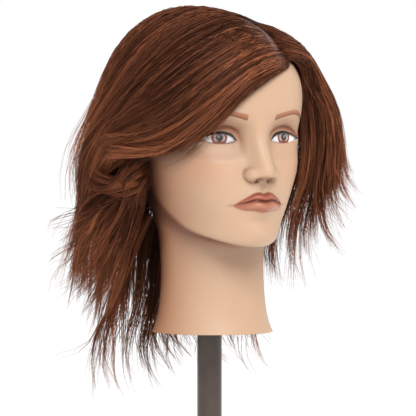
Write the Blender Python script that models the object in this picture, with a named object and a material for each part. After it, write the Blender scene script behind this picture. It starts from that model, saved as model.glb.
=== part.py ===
"""A mannequin training head on its table clamp, for a hairdressing bench.

Frame: metres, +Z up, the face looks along -Y and the head's left side is +X.
The origin lies on the post's axis, in the plane where the clamp's upper jaw pad
rests on the table top.  A soft vinyl skin filled with rigid foam carries the
implanted hair.  A plastic socket in the foam drops over a swivel plug on a steel
post, which tilts in a fork on a cast C-frame and is locked by a lever.  A screw
with a sliding bar lifts the pressure foot against the underside of the table.
"""

import math

import bmesh
import bpy
import numpy as np
from mathutils import Matrix, Vector

MM = 0.001
GAP = 0.3 * MM

# Driving dimensions ------------------------------------------------------------
RIM_Z = 150 * MM  # the neck's lower rim above the table
HEAD_FORWARD = 5 * MM  # how far the neck's centre lies in front of the post
SKIN_WALL = 4.5 * MM
POST_RADIUS = 10.8 * MM
POST_WALL = 2 * MM
POST_BOTTOM = 66.3 * MM
POST_TOP = 262 * MM
PIVOT_Z = 38 * MM
SOCKET_RADIUS = 12 * MM
SOCKET_WALL = 2.3 * MM
JAW_PAD_THICKNESS = 2.5 * MM
FRAME_WIDTH = 34 * MM
PRESSURE_TOP = -25 * MM  # top of the pressure foot at rest
SCREW_RADIUS = 6 * MM
BAR_Z = -112 * MM
BAR_RADIUS = 3.5 * MM
BAR_HALF = 40 * MM
FIT_GAP = 0.4 * MM  # radial gap of the moulded parts that slip over the socket
FOAM_BOTTOM = RIM_Z + 10.6 * MM
FOAM_CLEARANCE = 1.2 * MM
FOAM_TOP_GAP = 1.0 * MM
CEILING_PAST_POST = 18.4 * MM  # how far the socket's blind end lies above the post
SOCKET_PAST_POST = 22 * MM
FLANGE_RADIUS = 30 * MM
FLANGE_LOW = RIM_Z + 3.5 * MM
FLANGE_HIGH = RIM_Z + 6 * MM
PLATE_RADIUS = 37.5 * MM
PLATE_LOW = RIM_Z + 6.3 * MM
PLATE_HIGH = RIM_Z + 10.3 * MM
FLANGE_SCREW_CIRCLE = 23 * MM
FLANGE_SCREW_RADIUS = 1.8 * MM
FLANGE_SCREW_HEAD = 3.8 * MM
FLANGE_SCREW_ANGLES = (97, 217, 337)

# Heights above the rim, in millimetres.
CROWN_LOW = 234.5  # where the crown's hair meets the sections below it

ROUND = 28  # facets of the larger turned pieces
SMALL_ROUND = 16
SKIN_COLUMNS = 40
CAVITY_ROWS = 12
FOAM_FIRST_ROW = 3  # the foam starts above the neck's flared rim

# The head's cross-sections, from the neck's rim to the vertex, in millimetres:
# height at the front, side and back, reach to the front, the back and the side,
# and how square the front half is (2 is an ellipse).
HEAD_SECTIONS = (
    (0, 0, 0, 53, 53, 53, 2.0),
    (6, 6, 6, 50.5, 50.5, 50.5, 2.0),
    (22, 22, 22, 46.8, 47, 46.8, 2.0),
    (50, 50, 50, 45, 46.5, 44.6, 2.0),
    (70, 74, 80, 46, 50, 45.2, 2.0),
    (76.5, 86, 94, 57, 54, 47.5, 2.0),
    (73.5, 93, 106, 72, 60, 52, 2.1),
    (76.5, 101, 118, 80, 67, 54, 2.0),
    (88, 112, 132, 83, 77, 56, 1.9),
    (112, 130, 150, 84, 88, 60.5, 2.15),
    (142, 150, 168, 82, 94, 65.5, 2.3),
    (168, 172, 188, 80, 95, 68, 2.35),
    (190, 194, 205, 87, 93, 70.5, 2.3),
    (215, 218, 224, 86.5, 85, 69.5, 2.25),
    (240, 240, 243, 76, 72, 60, 2.15),
    (258, 257, 258, 54, 51, 43, 2.1),
    (266.5, 266, 266, 28, 28, 23, 2.0),
    (269, 269, 269, 0.5, 0.5, 0.5, 2.0),
)

# The form that the hollow inside the skin is offset from.
CAVITY_SECTIONS = (
    (0, 0, 0, 52.5, 52.5, 52.5, 2),
    (6, 6, 6, 50, 50, 50, 2),
    (22, 22, 22, 46.5, 46.5, 46.5, 2),
    (60, 60, 60, 44.5, 46, 44.5, 2),
    (92, 92, 92, 52, 56, 48, 2),
    (130, 130, 130, 72, 76, 58, 2),
    (168, 168, 168, 76, 88, 65, 2),
    (205, 205, 205, 78, 88, 68, 2),
    (232, 232, 232, 72, 74, 60, 2),
    (250, 250, 250, 54, 54, 46, 2),
)

# The outside of the dressed hair, in the same form.
HAIR_SECTIONS = (
    (-62, -52, -62, 60, 64, 66, 2.0),
    (-30, -30, -30, 66, 74, 76, 2.0),
    (20, 20, 20, 74, 86, 92, 2.0),
    (70, 70, 70, 80, 96, 106, 2.0),
    (120, 120, 120, 84, 107, 110, 2.0),
    (170, 170, 170, 90, 113, 106, 2.1),
    (205, 205, 205, 98, 112, 99, 2.2),
    (235, 235, 235, 92, 103, 88, 2.1),
    (258, 258, 258, 76, 87, 71, 2.1),
    (274, 274, 274, 50, 60, 48, 2.0),
    (281, 281, 281, 24, 30, 24, 2.0),
    (283, 283, 283, 0.5, 0.5, 0.5, 2.0),
)


# Blender helpers ----------------------------------------------------------------
def clear_scene():
    """Removes whatever the file opened with."""
    for obj in list(bpy.data.objects):
        bpy.data.objects.remove(obj)


def material(name, color, roughness, metallic=0.0):
    """A Principled material with one colour."""
    made = bpy.data.materials.new(name)
    made.use_nodes = True
    shader = made.node_tree.nodes["Principled BSDF"]
    shader.inputs["Base Color"].default_value = (*color, 1.0)
    shader.inputs["Roughness"].default_value = roughness
    shader.inputs["Metallic"].default_value = metallic
    return made


def add_object(name, mesh, made_of):
    """Links a mesh as a named object with one material."""
    obj = bpy.data.objects.new(name, mesh)
    bpy.context.scene.collection.objects.link(obj)
    mesh.materials.append(made_of)
    mesh.shade_smooth()
    mesh.set_sharp_from_angle(angle=math.radians(35))
    return obj


def from_bmesh(name, shape, made_of):
    """Turns a bmesh into an object, with its normals facing out."""
    bmesh.ops.recalc_face_normals(shape, faces=shape.faces)
    mesh = bpy.data.meshes.new(name)
    shape.to_mesh(mesh)
    shape.free()
    return add_object(name, mesh, made_of)


def turned(name, outline, made_of, facets=ROUND):
    """A lathe-turned solid about Z.  The outline is (radius, height) points in metres.

    An outline that starts and ends on the axis closes there, and any other is closed
    into a ring.
    """
    shape = bmesh.new()
    points = [shape.verts.new((r, 0, z)) for r, z in outline]
    on_axis = outline[0][0] == 0 and outline[-1][0] == 0
    pairs = list(zip(points, points[1:]))
    if not on_axis:
        pairs.append((points[-1], points[0]))
    edges = [shape.edges.new(pair) for pair in pairs]
    bmesh.ops.spin(
        shape,
        geom=points + edges,
        axis=(0, 0, 1),
        cent=(0, 0, 0),
        angle=2 * math.pi,
        steps=facets,
        use_merge=True,
    )
    bmesh.ops.remove_doubles(shape, verts=shape.verts, dist=1e-6)
    return from_bmesh(name, shape, made_of)


def block(name, low, high, made_of, bevel=0.0):
    """A box between two corners, with its edges rounded."""
    shape = bmesh.new()
    bmesh.ops.create_cube(shape, size=1.0)
    low, high = Vector(low), Vector(high)
    bmesh.ops.scale(shape, vec=high - low, verts=shape.verts)
    bmesh.ops.translate(shape, vec=(low + high) / 2, verts=shape.verts)
    obj = from_bmesh(name, shape, made_of)
    if bevel:
        rounding = obj.modifiers.new("rounding", "BEVEL")
        rounding.width = bevel
        rounding.segments = 2
    return obj


def extruded(name, outline, low_x, high_x, made_of):
    """A (y, z) outline carried from low_x to high_x."""
    shape = bmesh.new()
    face = shape.faces.new([shape.verts.new((low_x, y, z)) for y, z in outline])
    swept = bmesh.ops.extrude_face_region(shape, geom=[face])
    moved = [v for v in swept["geom"] if isinstance(v, bmesh.types.BMVert)]
    bmesh.ops.translate(shape, vec=(high_x - low_x, 0, 0), verts=moved)
    return from_bmesh(name, shape, made_of)


def arc(centre, radius, start, end, steps):
    """Points of an arc in a plane, from one angle to another in degrees."""
    angles = [math.radians(start + (end - start) * i / steps) for i in range(steps + 1)]
    return [
        (centre[0] + radius * math.cos(a), centre[1] + radius * math.sin(a))
        for a in angles
    ]


def rod_cutter(name, radius, low, high, axis="Z", centre=(0, 0, 0), facets=ROUND):
    """A hidden cylinder for Boolean cuts, running from low to high along an axis."""
    shape = bmesh.new()
    bmesh.ops.create_cone(
        shape,
        cap_ends=True,
        segments=facets,
        radius1=radius,
        radius2=radius,
        depth=high - low,
    )
    bmesh.ops.translate(shape, vec=(0, 0, (low + high) / 2), verts=shape.verts)
    if axis == "X":
        turn = Matrix.Rotation(math.pi / 2, 3, "Y")
        bmesh.ops.rotate(shape, cent=(0, 0, 0), matrix=turn, verts=shape.verts)
    bmesh.ops.translate(shape, vec=centre, verts=shape.verts)
    return hidden(from_bmesh(name, shape, STEEL))


def hidden(obj):
    """Marks an object as a cutter, so that it is no part of the model."""
    obj.hide_render = True
    obj.display_type = "WIRE"
    return obj


def boolean(obj, other, operation="DIFFERENCE"):
    """Adds an exact Boolean modifier."""
    cut = obj.modifiers.new(other.name, "BOOLEAN")
    cut.operation = operation
    cut.solver = "EXACT"
    cut.object = other


# The head's surface ---------------------------------------------------------------
def spline(knots, values, at):
    """A natural cubic spline through (knots, values), read at many places."""
    step = np.diff(knots)
    slope = np.diff(values, axis=0) / step[:, None]
    n = len(knots)
    system = np.eye(n)
    right = np.zeros((n, values.shape[1]))
    for i in range(1, n - 1):
        system[i, i - 1 : i + 2] = step[i - 1], 2 * (step[i - 1] + step[i]), step[i]
        right[i] = 6 * (slope[i] - slope[i - 1])
    bend = np.linalg.solve(system, right)
    i = np.clip(np.searchsorted(knots, at, "right") - 1, 0, n - 2)
    h = step[i][:, None]
    a = (knots[i + 1] - at)[:, None] / h
    b = 1 - a
    return (
        a * values[i]
        + b * values[i + 1]
        + ((a**3 - a) * bend[i] + (b**3 - b) * bend[i + 1]) * h * h / 6
    )


def section_surface(sections, angle, level, grow=0.0):
    """Points of a body given by its cross-sections, in metres from the neck's rim.

    angle is 0 at the front, 90 degrees at the left side and 180 at the back; level
    counts the sections from the lowest.  A section is a superellipse: its side and
    its depth are powers of the sine and cosine of the angle.  grow widens it.
    """
    table = np.array(sections, float)
    read = spline(np.arange(len(table), dtype=float), table, level)
    front_z, side_z, back_z, front, back, side, square = read.T
    s, c = np.sin(angle), np.cos(angle)
    ahead = c > 0
    power = np.where(ahead, 2 / square, 1.0)
    x = (side + grow) * np.sign(s) * np.abs(s) ** power
    y = -np.where(ahead, front + grow, back + grow) * np.sign(c) * np.abs(c) ** power
    end_z = np.where(ahead, front_z, back_z)
    z = side_z + (end_z - side_z) * c * c
    return np.stack([x, y, z], axis=-1) * MM


def bump(x, z, centre_x, centre_z, width, height):
    """A smooth hill of height 1."""
    return np.exp(-(((x - centre_x) / width) ** 2) - ((z - centre_z) / height) ** 2)


def add_face(points):
    """Pushes the front of the head into a plain mannequin face."""
    x, y, z = (points[:, k] / MM for k in range(3))
    side = np.abs(x)
    nose_reach = np.interp(z, [128, 133, 138, 143, 152, 166, 184], [0, 5, 15, 17, 12, 5, 0])
    nose_half = np.interp(z, [128, 142, 160, 184], [13, 12, 9, 11])
    forward = nose_reach * np.exp(-((side / nose_half) ** 2))
    forward += 4 * bump(side, z, 12, 138, 5, 5)
    forward += 10 * bump(x, z, 0, 118.5, 18, 5) + 8 * bump(x, z, 0, 107, 14, 5)
    forward += 4 * bump(x, z, 0, 88, 18, 9)
    forward -= 6.5 * bump(side, z, 29, 172, 14, 9)
    forward += 3.5 * bump(side, z, 46, 150, 16, 16)
    front = np.clip((-y - 20) / 30, 0, 1)
    ear = np.exp(-(((y - 10) / 11) ** 4) - ((z - 152) / 24) ** 4)
    out = np.stack([9 * ear * np.sign(x), -forward * front, 0 * z], axis=-1)
    return points + out * MM


def grid_faces(rows, columns, closed):
    """The quads of a grid of points, row by row, joined end to end if closed."""
    across = columns if closed else columns - 1
    return [
        (
            r * columns + c,
            r * columns + (c + 1) % columns,
            (r + 1) * columns + (c + 1) % columns,
            (r + 1) * columns + c,
        )
        for r in range(rows - 1)
        for c in range(across)
    ]


def shell_between(name, outer, inner, closed, made_of):
    """A closed solid between two grids of points, (rows, columns, 3) each.

    closed says whether the columns go all the way round.  A grid that is closed
    keeps its last row as a flat cap, which stands for the pole.
    """
    rows, columns = outer.shape[:2]
    inner_rows = inner.shape[0]
    shape = bmesh.new()
    verts = [shape.verts.new(p) for p in (*outer.reshape(-1, 3), *inner.reshape(-1, 3))]
    first = rows * columns
    faces = grid_faces(rows, columns, closed)
    faces += [
        tuple(first + i for i in reversed(face))
        for face in grid_faces(inner_rows, columns, closed)
    ]
    if closed:
        faces.append(tuple((rows - 1) * columns + c for c in range(columns)))
        faces.append(
            tuple(first + (inner_rows - 1) * columns + c for c in reversed(range(columns)))
        )
        faces += [
            (first + c, first + (c + 1) % columns, (c + 1) % columns, c)
            for c in range(columns)
        ]
    else:
        border = [c for c in range(columns)]
        border += [r * columns + columns - 1 for r in range(1, rows)]
        border += [(rows - 1) * columns + c for c in range(columns - 2, -1, -1)]
        border += [r * columns for r in range(rows - 2, 0, -1)]
        faces += [
            (b, a, first + a, first + b) for a, b in zip(border, border[1:] + border[:1])
        ]
    for face in faces:
        shape.faces.new([verts[i] for i in face])
    return from_bmesh(name, shape, made_of)


def around(columns, crowding=0.0):
    """Angles all the way round, closer together over the face by the crowding."""
    even = np.linspace(-math.pi, math.pi, columns, endpoint=False)
    return even - crowding * np.sin(even)


def surface_grid(sections, angles, levels, grow=0.0, face=False):
    """A (levels, angles, 3) grid of points on a sectioned body, at the head's place."""
    level, angle = np.meshgrid(levels, angles, indexing="ij")
    points = section_surface(sections, angle.ravel(), level.ravel(), grow)
    if face:
        points = add_face(points)
    points += np.array([0, -HEAD_FORWARD, RIM_Z])
    return points.reshape(len(levels), len(angles), 3)


# The head ---------------------------------------------------------------------------
def make_skin():
    """The hollow vinyl skin: face, ears, scalp and neck in one moulding."""
    last = len(HEAD_SECTIONS) - 1
    chin, brow = 7, 12
    levels = np.concatenate(
        [
            np.linspace(0, chin, 10, endpoint=False),
            np.linspace(chin, brow, 22, endpoint=False),
            np.linspace(brow, last - 0.4, 8),
        ]
    )
    angles = around(SKIN_COLUMNS, 0.6)
    outer = surface_grid(HEAD_SECTIONS, angles, levels, face=True)
    inner = cavity_grid(angles, 0.0)
    inner[0, :, 2] = RIM_Z
    shell_between("head_skin", outer, inner, True, VINYL)


def cavity_grid(angles, clearance):
    """The inside of the skin, a smooth hollow one wall in from the outside.

    The chin and the jaw are filled solid, so the hollow stays a simple form that a
    foam core can fill.
    """
    levels = np.linspace(0, len(CAVITY_SECTIONS) - 1, CAVITY_ROWS)
    return surface_grid(
        CAVITY_SECTIONS, angles, levels, grow=-(SKIN_WALL + clearance) / MM
    )


def make_foam_core():
    """The rigid foam inside the skin, with the hole for the socket."""
    angles = around(SKIN_COLUMNS, 0.6)
    outer = cavity_grid(angles, FOAM_CLEARANCE)[FOAM_FIRST_ROW:]
    outer[-1, :, 2] -= FOAM_TOP_GAP
    base = outer[:1].copy()
    base[..., 2] = FOAM_BOTTOM
    outer = np.concatenate([base, outer])
    ring = SOCKET_RADIUS + SOCKET_WALL + FIT_GAP
    inner = np.stack(
        [
            np.stack(
                [ring * np.sin(angles), -ring * np.cos(angles), 0 * angles + z], axis=-1
            )
            for z in (FOAM_BOTTOM, POST_TOP + SOCKET_PAST_POST + FIT_GAP)
        ]
    )
    shell_between("foam_core", outer, inner, True, FOAM)


def make_socket():
    """The plastic socket that drops over the post, with its flange, plate and screws."""
    inside, outside = SOCKET_RADIUS, SOCKET_RADIUS + SOCKET_WALL
    ceiling, top = POST_TOP + CEILING_PAST_POST, POST_TOP + SOCKET_PAST_POST
    corner, lead_in = 3 * MM, 1.5 * MM
    sleeve = turned(
        "socket_sleeve",
        [
            (0, top),
            (outside - corner, top),
            (outside, top - corner),
            (outside, FLANGE_HIGH),
            (FLANGE_RADIUS, FLANGE_HIGH),
            (FLANGE_RADIUS, FLANGE_LOW),
            (inside + lead_in, FLANGE_LOW),
            (inside, FLANGE_LOW + lead_in),
            (inside, ceiling),
            (0, ceiling),
        ],
        PLASTIC_DARK,
    )
    plate = turned(
        "neck_base_plate",
        [
            (outside + FIT_GAP, PLATE_LOW),
            (PLATE_RADIUS, PLATE_LOW),
            (PLATE_RADIUS, PLATE_HIGH),
            (outside + FIT_GAP, PLATE_HIGH),
        ],
        PLASTIC_PALE,
    )
    for i, degrees in enumerate(FLANGE_SCREW_ANGLES):
        angle = math.radians(degrees)
        centre = Vector((math.cos(angle), math.sin(angle), 0)) * FLANGE_SCREW_CIRCLE
        hole = rod_cutter(
            f"screw_hole_{i + 1}",
            FLANGE_SCREW_RADIUS + FIT_GAP,
            RIM_Z,
            PLATE_HIGH + 1.7 * MM,
            centre=centre,
            facets=12,
        )
        boolean(sleeve, hole)
        boolean(plate, hole)
        head_low, head_high = FLANGE_LOW - 2.3 * MM, FLANGE_LOW - GAP
        screw = turned(
            f"flange_screw_{i + 1}",
            [
                (0, head_low),
                (FLANGE_SCREW_HEAD - 1.2 * MM, head_low),
                (FLANGE_SCREW_HEAD, head_high),
                (FLANGE_SCREW_RADIUS, head_high),
                (FLANGE_SCREW_RADIUS, PLATE_HIGH - GAP),
                (0, PLATE_HIGH - GAP),
            ],
            STEEL,
            facets=12,
        )
        screw.location = centre


def head_radius(bearing, heights):
    """How far the head reaches from the post's axis, in millimetres.

    bearing is measured from the front, and heights are above the neck's rim.
    """
    table = np.array(HEAD_SECTIONS, float)
    levels = np.linspace(0, len(table) - 1, 300)
    read = spline(np.arange(len(table), dtype=float), table, levels)
    front_z, side_z, back_z, front, back, side, square = read.T
    ahead = math.cos(bearing) > 0
    end, end_z = (front, front_z) if ahead else (back, back_z)
    power = 2 / square if ahead else np.ones_like(square)
    turn = np.arctan(np.abs(math.tan(bearing) * end / side) ** (1 / power))
    radius = np.hypot(side * np.sin(turn) ** power, end * np.cos(turn) ** power)
    height = side_z + (end_z - side_z) * np.cos(turn) ** 2
    order = np.argsort(height)
    return np.interp(heights, height[order], radius[order])


def hair_slab(name, bearings, heights, inner, outer, made_of):
    """A curved slab of hair.  heights, inner and outer radii are (rows, columns)."""
    grids = [
        np.stack(
            [radius * np.sin(bearings), -radius * np.cos(bearings), heights], axis=-1
        )
        * MM
        + np.array([0, -HEAD_FORWARD, RIM_Z])
        for radius in (outer, inner)
    ]
    shell_between(name, grids[0], grids[1], False, made_of)


def make_fringe(rows=7, columns=12):
    """The fringe, swept from the parting down to the right temple."""
    bearings = np.radians(np.linspace(-84, 14, columns))
    share = np.linspace(0, 1, columns)
    low = np.interp(share, [0, 0.35, 0.75, 1], [152, 178, 212, 229])
    rise = np.linspace(0, 1, rows)[:, None]
    heights = low + (CROWN_LOW - 1 - low) * rise
    scalp = np.stack(
        [head_radius(b, heights[:, i]) for i, b in enumerate(bearings)], axis=1
    )
    hair_slab("hair_fringe", bearings, heights, scalp + 4, scalp + 11, HAIR)


def curtain(name, start, end, rows, made_of, columns=9):
    """A hanging section of hair between two bearings in degrees.

    rows run from the lowest point up, each a height with the inner and the outer
    radius at the start, the middle and the end of the section, in millimetres.
    """
    share = np.linspace(0, 1, columns)
    bearings = np.radians(start + (end - start) * share)
    table = np.array(rows, float)
    heights = np.repeat(table[:, :1], columns, axis=1)
    inner, outer = (
        np.stack([np.interp(share, [0, 0.5, 1], row[first : first + 3]) for row in table])
        for first in (1, 4)
    )
    scalp = np.stack([head_radius(b, table[:, 0]) for b in bearings], axis=1)
    hair_slab(name, bearings, heights, np.maximum(inner, scalp + 3), outer, made_of)


def make_crown_hair():
    """The hair over the top of the head, parted above the left eye."""
    angles = around(24)
    top = len(HAIR_SECTIONS) - 1
    outer = surface_grid(HAIR_SECTIONS, angles, np.linspace(6, top - 0.3, 7))
    head_top = len(HEAD_SECTIONS) - 1
    inner = surface_grid(
        HEAD_SECTIONS, angles, np.linspace(12, head_top - 0.4, 9), grow=2.5
    )
    inner[..., 2] += 1.2 * MM
    for side, low_x, high_x in (
        ("hair_crown_sweep", -200 * MM, 27.6 * MM),
        ("hair_left_top", 28.4 * MM, 200 * MM),
    ):
        cap = shell_between(side, outer, inner, True, HAIR)
        half = hidden(
            block(
                f"{side}_half",
                (low_x, -200 * MM, RIM_Z + CROWN_LOW * MM),
                (high_x, 200 * MM, RIM_Z + 320 * MM),
                HAIR,
            )
        )
        boolean(cap, half, "INTERSECT")


def make_side_hair():
    """The hanging hair: both sides, the back and the nape."""
    make_fringe()
    top = CROWN_LOW - 1
    curtain(
        "hair_right_side",
        -86,
        -140,
        [
            (-8, 62, 60, 58, 74, 76, 76),
            (60, 64, 62, 60, 98, 100, 96),
            (110, 72, 70, 70, 104, 108, 106),
            (150, 78, 80, 88, 104, 108, 112),
            (200, 76, 80, 88, 97, 104, 110),
            (top, 72, 74, 80, 87, 92, 98),
        ],
        HAIR,
    )
    curtain(
        "hair_left_side",
        66,
        139,
        [
            (28, 66, 64, 60, 88, 84, 78),
            (90, 72, 66, 62, 108, 104, 98),
            (120, 76, 72, 72, 113, 110, 106),
            (150, 80, 80, 88, 112, 108, 110),
            (200, 77, 80, 88, 98, 102, 108),
            (top, 68, 74, 80, 86, 90, 96),
        ],
        HAIR,
    )
    curtain(
        "hair_back",
        -141,
        -220,
        [
            (104, 72, 82, 72, 105, 108, 105),
            (150, 88, 94, 88, 112, 115, 112),
            (200, 88, 93, 88, 110, 113, 110),
            (top, 80, 84, 80, 98, 104, 98),
        ],
        HAIR,
    )
    curtain(
        "hair_nape",
        -141,
        -220,
        [
            (-62, 52, 52, 52, 62, 64, 62),
            (0, 58, 58, 58, 84, 86, 82),
            (60, 54, 54, 54, 96, 98, 94),
            (103, 72, 78, 72, 104, 107, 104),
        ],
        HAIR,
    )


# The post ----------------------------------------------------------------------------
def make_post():
    """The steel post with its bush, and the swivel plug that the head turns on."""
    turned(
        "post_tube",
        [
            (POST_RADIUS - POST_WALL, POST_BOTTOM),
            (POST_RADIUS, POST_BOTTOM),
            (POST_RADIUS, POST_TOP),
            (POST_RADIUS - POST_WALL, POST_TOP),
        ],
        BRONZE_PAINT,
    )
    turned(
        "post_bush",
        [
            (3.3 * MM, POST_TOP - 17 * MM),
            (POST_RADIUS - POST_WALL - GAP, POST_TOP - 17 * MM),
            (POST_RADIUS - POST_WALL - GAP, POST_TOP + GAP),
            (POST_RADIUS - 0.3 * MM, POST_TOP + GAP),
            (POST_RADIUS - 0.3 * MM, POST_TOP + 3 * MM),
            (3.3 * MM, POST_TOP + 3 * MM),
        ],
        PLASTIC_PALE,
    )
    plug_low, plug_high = POST_TOP + 3.4 * MM, POST_TOP + 18 * MM
    turned(
        "swivel_plug",
        [
            (3.4 * MM, plug_low),
            (SOCKET_RADIUS - 1 * MM, plug_low),
            (SOCKET_RADIUS - 0.6 * MM, plug_low + 5 * MM),
            (SOCKET_RADIUS - 1.6 * MM, plug_high - 3 * MM),
            (SOCKET_RADIUS - 4 * MM, plug_high),
            (6.6 * MM, plug_high),
            (6.6 * MM, plug_high - 6 * MM),
            (3.4 * MM, plug_high - 6 * MM),
        ],
        PLASTIC_DARK,
    )
    turned(
        "swivel_bolt",
        [
            (0, plug_high - 1 * MM),
            (5.5 * MM, plug_high - 1 * MM),
            (5.5 * MM, plug_high - 5.6 * MM),
            (3 * MM, plug_high - 5.6 * MM),
            (3 * MM, POST_TOP - 15 * MM),
            (0, POST_TOP - 15 * MM),
        ],
        STEEL,
        facets=SMALL_ROUND,
    )


# The tilting knuckle -------------------------------------------------------------------
def make_knuckle():
    """The tongue under the post and the fork that it tilts in, with bolt and lever."""
    eye = 13 * MM
    pivot = (0, 0, PIVOT_Z)
    waist = 9 * MM
    tongue = extruded(
        "post_tongue",
        arc((0, PIVOT_Z), eye, 180, 360, 14)
        + [(eye, PIVOT_Z + 12 * MM), (waist, PIVOT_Z + 18 * MM)]
        + [(-waist, PIVOT_Z + 18 * MM), (-eye, PIVOT_Z + 12 * MM)],
        -8 * MM,
        8 * MM,
        CAST,
    )
    collar = turned(
        "tongue_collar",
        [
            (0, PIVOT_Z + 16 * MM),
            (POST_RADIUS + 2 * MM, PIVOT_Z + 16 * MM),
            (POST_RADIUS + 4 * MM, PIVOT_Z + 18 * MM),
            (POST_RADIUS + 4 * MM, POST_BOTTOM - GAP),
            (POST_RADIUS - POST_WALL - GAP, POST_BOTTOM - GAP),
            (POST_RADIUS - POST_WALL - GAP, POST_BOTTOM + 18 * MM),
            (0, POST_BOTTOM + 18 * MM),
        ],
        CAST,
    )
    boolean(tongue, hidden(collar), "UNION")
    hole = rod_cutter("pivot_hole", 5.2 * MM, -30 * MM, 30 * MM, "X", pivot, 24)
    boolean(tongue, hole)

    base_low, base_high = 15.3 * MM, 22 * MM
    fork = extruded(
        "tilt_fork",
        [(-eye - 3 * MM, base_low), (eye + 3 * MM, base_low)]
        + [(eye + 3 * MM, base_high - 1 * MM), (eye, base_high + 4 * MM)]
        + arc((0, PIVOT_Z), eye, 0, 180, 14)
        + [(-eye, base_high + 4 * MM), (-eye - 3 * MM, base_high - 1 * MM)],
        -15 * MM,
        15 * MM,
        CAST,
    )
    slot = hidden(
        block(
            "fork_slot",
            (-8.3 * MM, -30 * MM, base_high),
            (8.3 * MM, 30 * MM, 60 * MM),
            CAST,
        )
    )
    boolean(fork, slot)
    boolean(fork, hole)

    bolt = turned(
        "tilt_bolt",
        [(0, -21 * MM), (7.4 * MM, -21 * MM), (7.4 * MM, -15.3 * MM)]
        + [(5 * MM, -15.3 * MM), (5 * MM, 26 * MM), (0, 26 * MM)],
        STEEL,
        facets=SMALL_ROUND,
    )
    bolt.location = pivot
    bolt.rotation_euler = (0, math.pi / 2, 0)
    washer = turned(
        "lever_washer",
        [(5.3 * MM, 15.3 * MM), (9 * MM, 15.3 * MM)]
        + [(9 * MM, 16.8 * MM), (5.3 * MM, 16.8 * MM)],
        STEEL,
        facets=SMALL_ROUND,
    )
    washer.location = pivot
    washer.rotation_euler = (0, math.pi / 2, 0)
    make_lever(pivot)


def make_lever(pivot):
    """The locking lever: a round hub with an arm that points forward when locked."""
    hub = turned(
        "lock_lever",
        [(0, 31 * MM), (9 * MM, 31 * MM), (11 * MM, 29 * MM), (11 * MM, 17.1 * MM)]
        + [(5.3 * MM, 17.1 * MM), (5.3 * MM, 27 * MM), (0, 27 * MM)],
        PLASTIC_DARK,
        facets=24,
    )
    hub.rotation_euler = (0, math.pi / 2, 0)
    arm_points = (
        (8, 4.5, 0),
        (30, 4.0, 2),
        (52, 5.0, 4),
    )
    outline = [(-x * MM, (rise + half) * MM) for x, half, rise in arm_points]
    outline += arc((-54 * MM, 4 * MM), 5 * MM, 90, 270, 8)
    outline += [(-x * MM, (rise - half) * MM) for x, half, rise in reversed(arm_points)]
    arm = extruded("lever_arm", outline, 20.5 * MM, 28.5 * MM, PLASTIC_DARK)
    boolean(hub, hidden(arm), "UNION")
    hub.location = pivot
    arm.location = pivot


# The table clamp --------------------------------------------------------------------------
def make_frame():
    """The cast C-frame with its jaw pad, fork screws and threaded bush."""
    under, top = JAW_PAD_THICKNESS + GAP, 15 * MM
    low, low_top = -78 * MM, -64 * MM
    spine_in, spine_out = 46 * MM, 58 * MM
    corner = 8 * MM
    frame = extruded(
        "clamp_frame",
        [(-28 * MM, under), (-28 * MM, top - 2 * MM), (-26 * MM, top)]
        + arc((spine_out - corner, top - corner), corner, 90, 0, 5)
        + arc((spine_out - corner, low + corner), corner, 0, -90, 5)
        + [(-14 * MM, low), (-16 * MM, low + 2 * MM), (-16 * MM, low_top)]
        + arc((spine_in - 5 * MM, low_top + 5 * MM), 5 * MM, -90, 0, 4)
        + arc((spine_in - 5 * MM, under - 5 * MM), 5 * MM, 0, 90, 4),
        -FRAME_WIDTH / 2,
        FRAME_WIDTH / 2,
        CAST,
    )
    rounding = frame.modifiers.new("rounding", "BEVEL")
    rounding.width = 1.2 * MM
    rounding.segments = 1
    rounding.angle_limit = math.radians(50)
    bush_hole = rod_cutter("bush_hole", 10.3 * MM, -90 * MM, -55 * MM, facets=24)
    boolean(frame, bush_hole)
    for i, side in enumerate((-1, 1)):
        x = 10.5 * MM * side
        hole = rod_cutter(
            f"fork_hole_{i + 1}", 2.7 * MM, 0, 20.5 * MM, centre=(x, 0, 0), facets=12
        )
        head = rod_cutter(
            f"fork_head_{i + 1}", 4.8 * MM, 0, 8 * MM, centre=(x, 0, 0), facets=16
        )
        boolean(frame, hole)
        boolean(frame, head)
        boolean(bpy.data.objects["tilt_fork"], hole)
        screw = turned(
            f"fork_screw_{i + 1}",
            [(0, 3.4 * MM), (4.4 * MM, 3.4 * MM), (4.4 * MM, 7.6 * MM)]
            + [(2.4 * MM, 7.6 * MM), (2.4 * MM, 19.8 * MM), (0, 19.8 * MM)],
            STEEL,
            facets=12,
        )
        screw.location = (x, 0, 0)
    block(
        "jaw_pad",
        (-15 * MM, -26 * MM, 0),
        (15 * MM, 34 * MM, JAW_PAD_THICKNESS),
        RUBBER,
        bevel=0.6 * MM,
    )
    turned(
        "screw_bush",
        [(SCREW_RADIUS + 0.35 * MM, -80 * MM), (12.5 * MM, -80 * MM)]
        + [(12.5 * MM, -78.4 * MM), (10 * MM, -78.4 * MM), (10 * MM, -63 * MM)]
        + [(SCREW_RADIUS + 0.35 * MM, -63 * MM)],
        BRASS,
        facets=24,
    )


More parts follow.
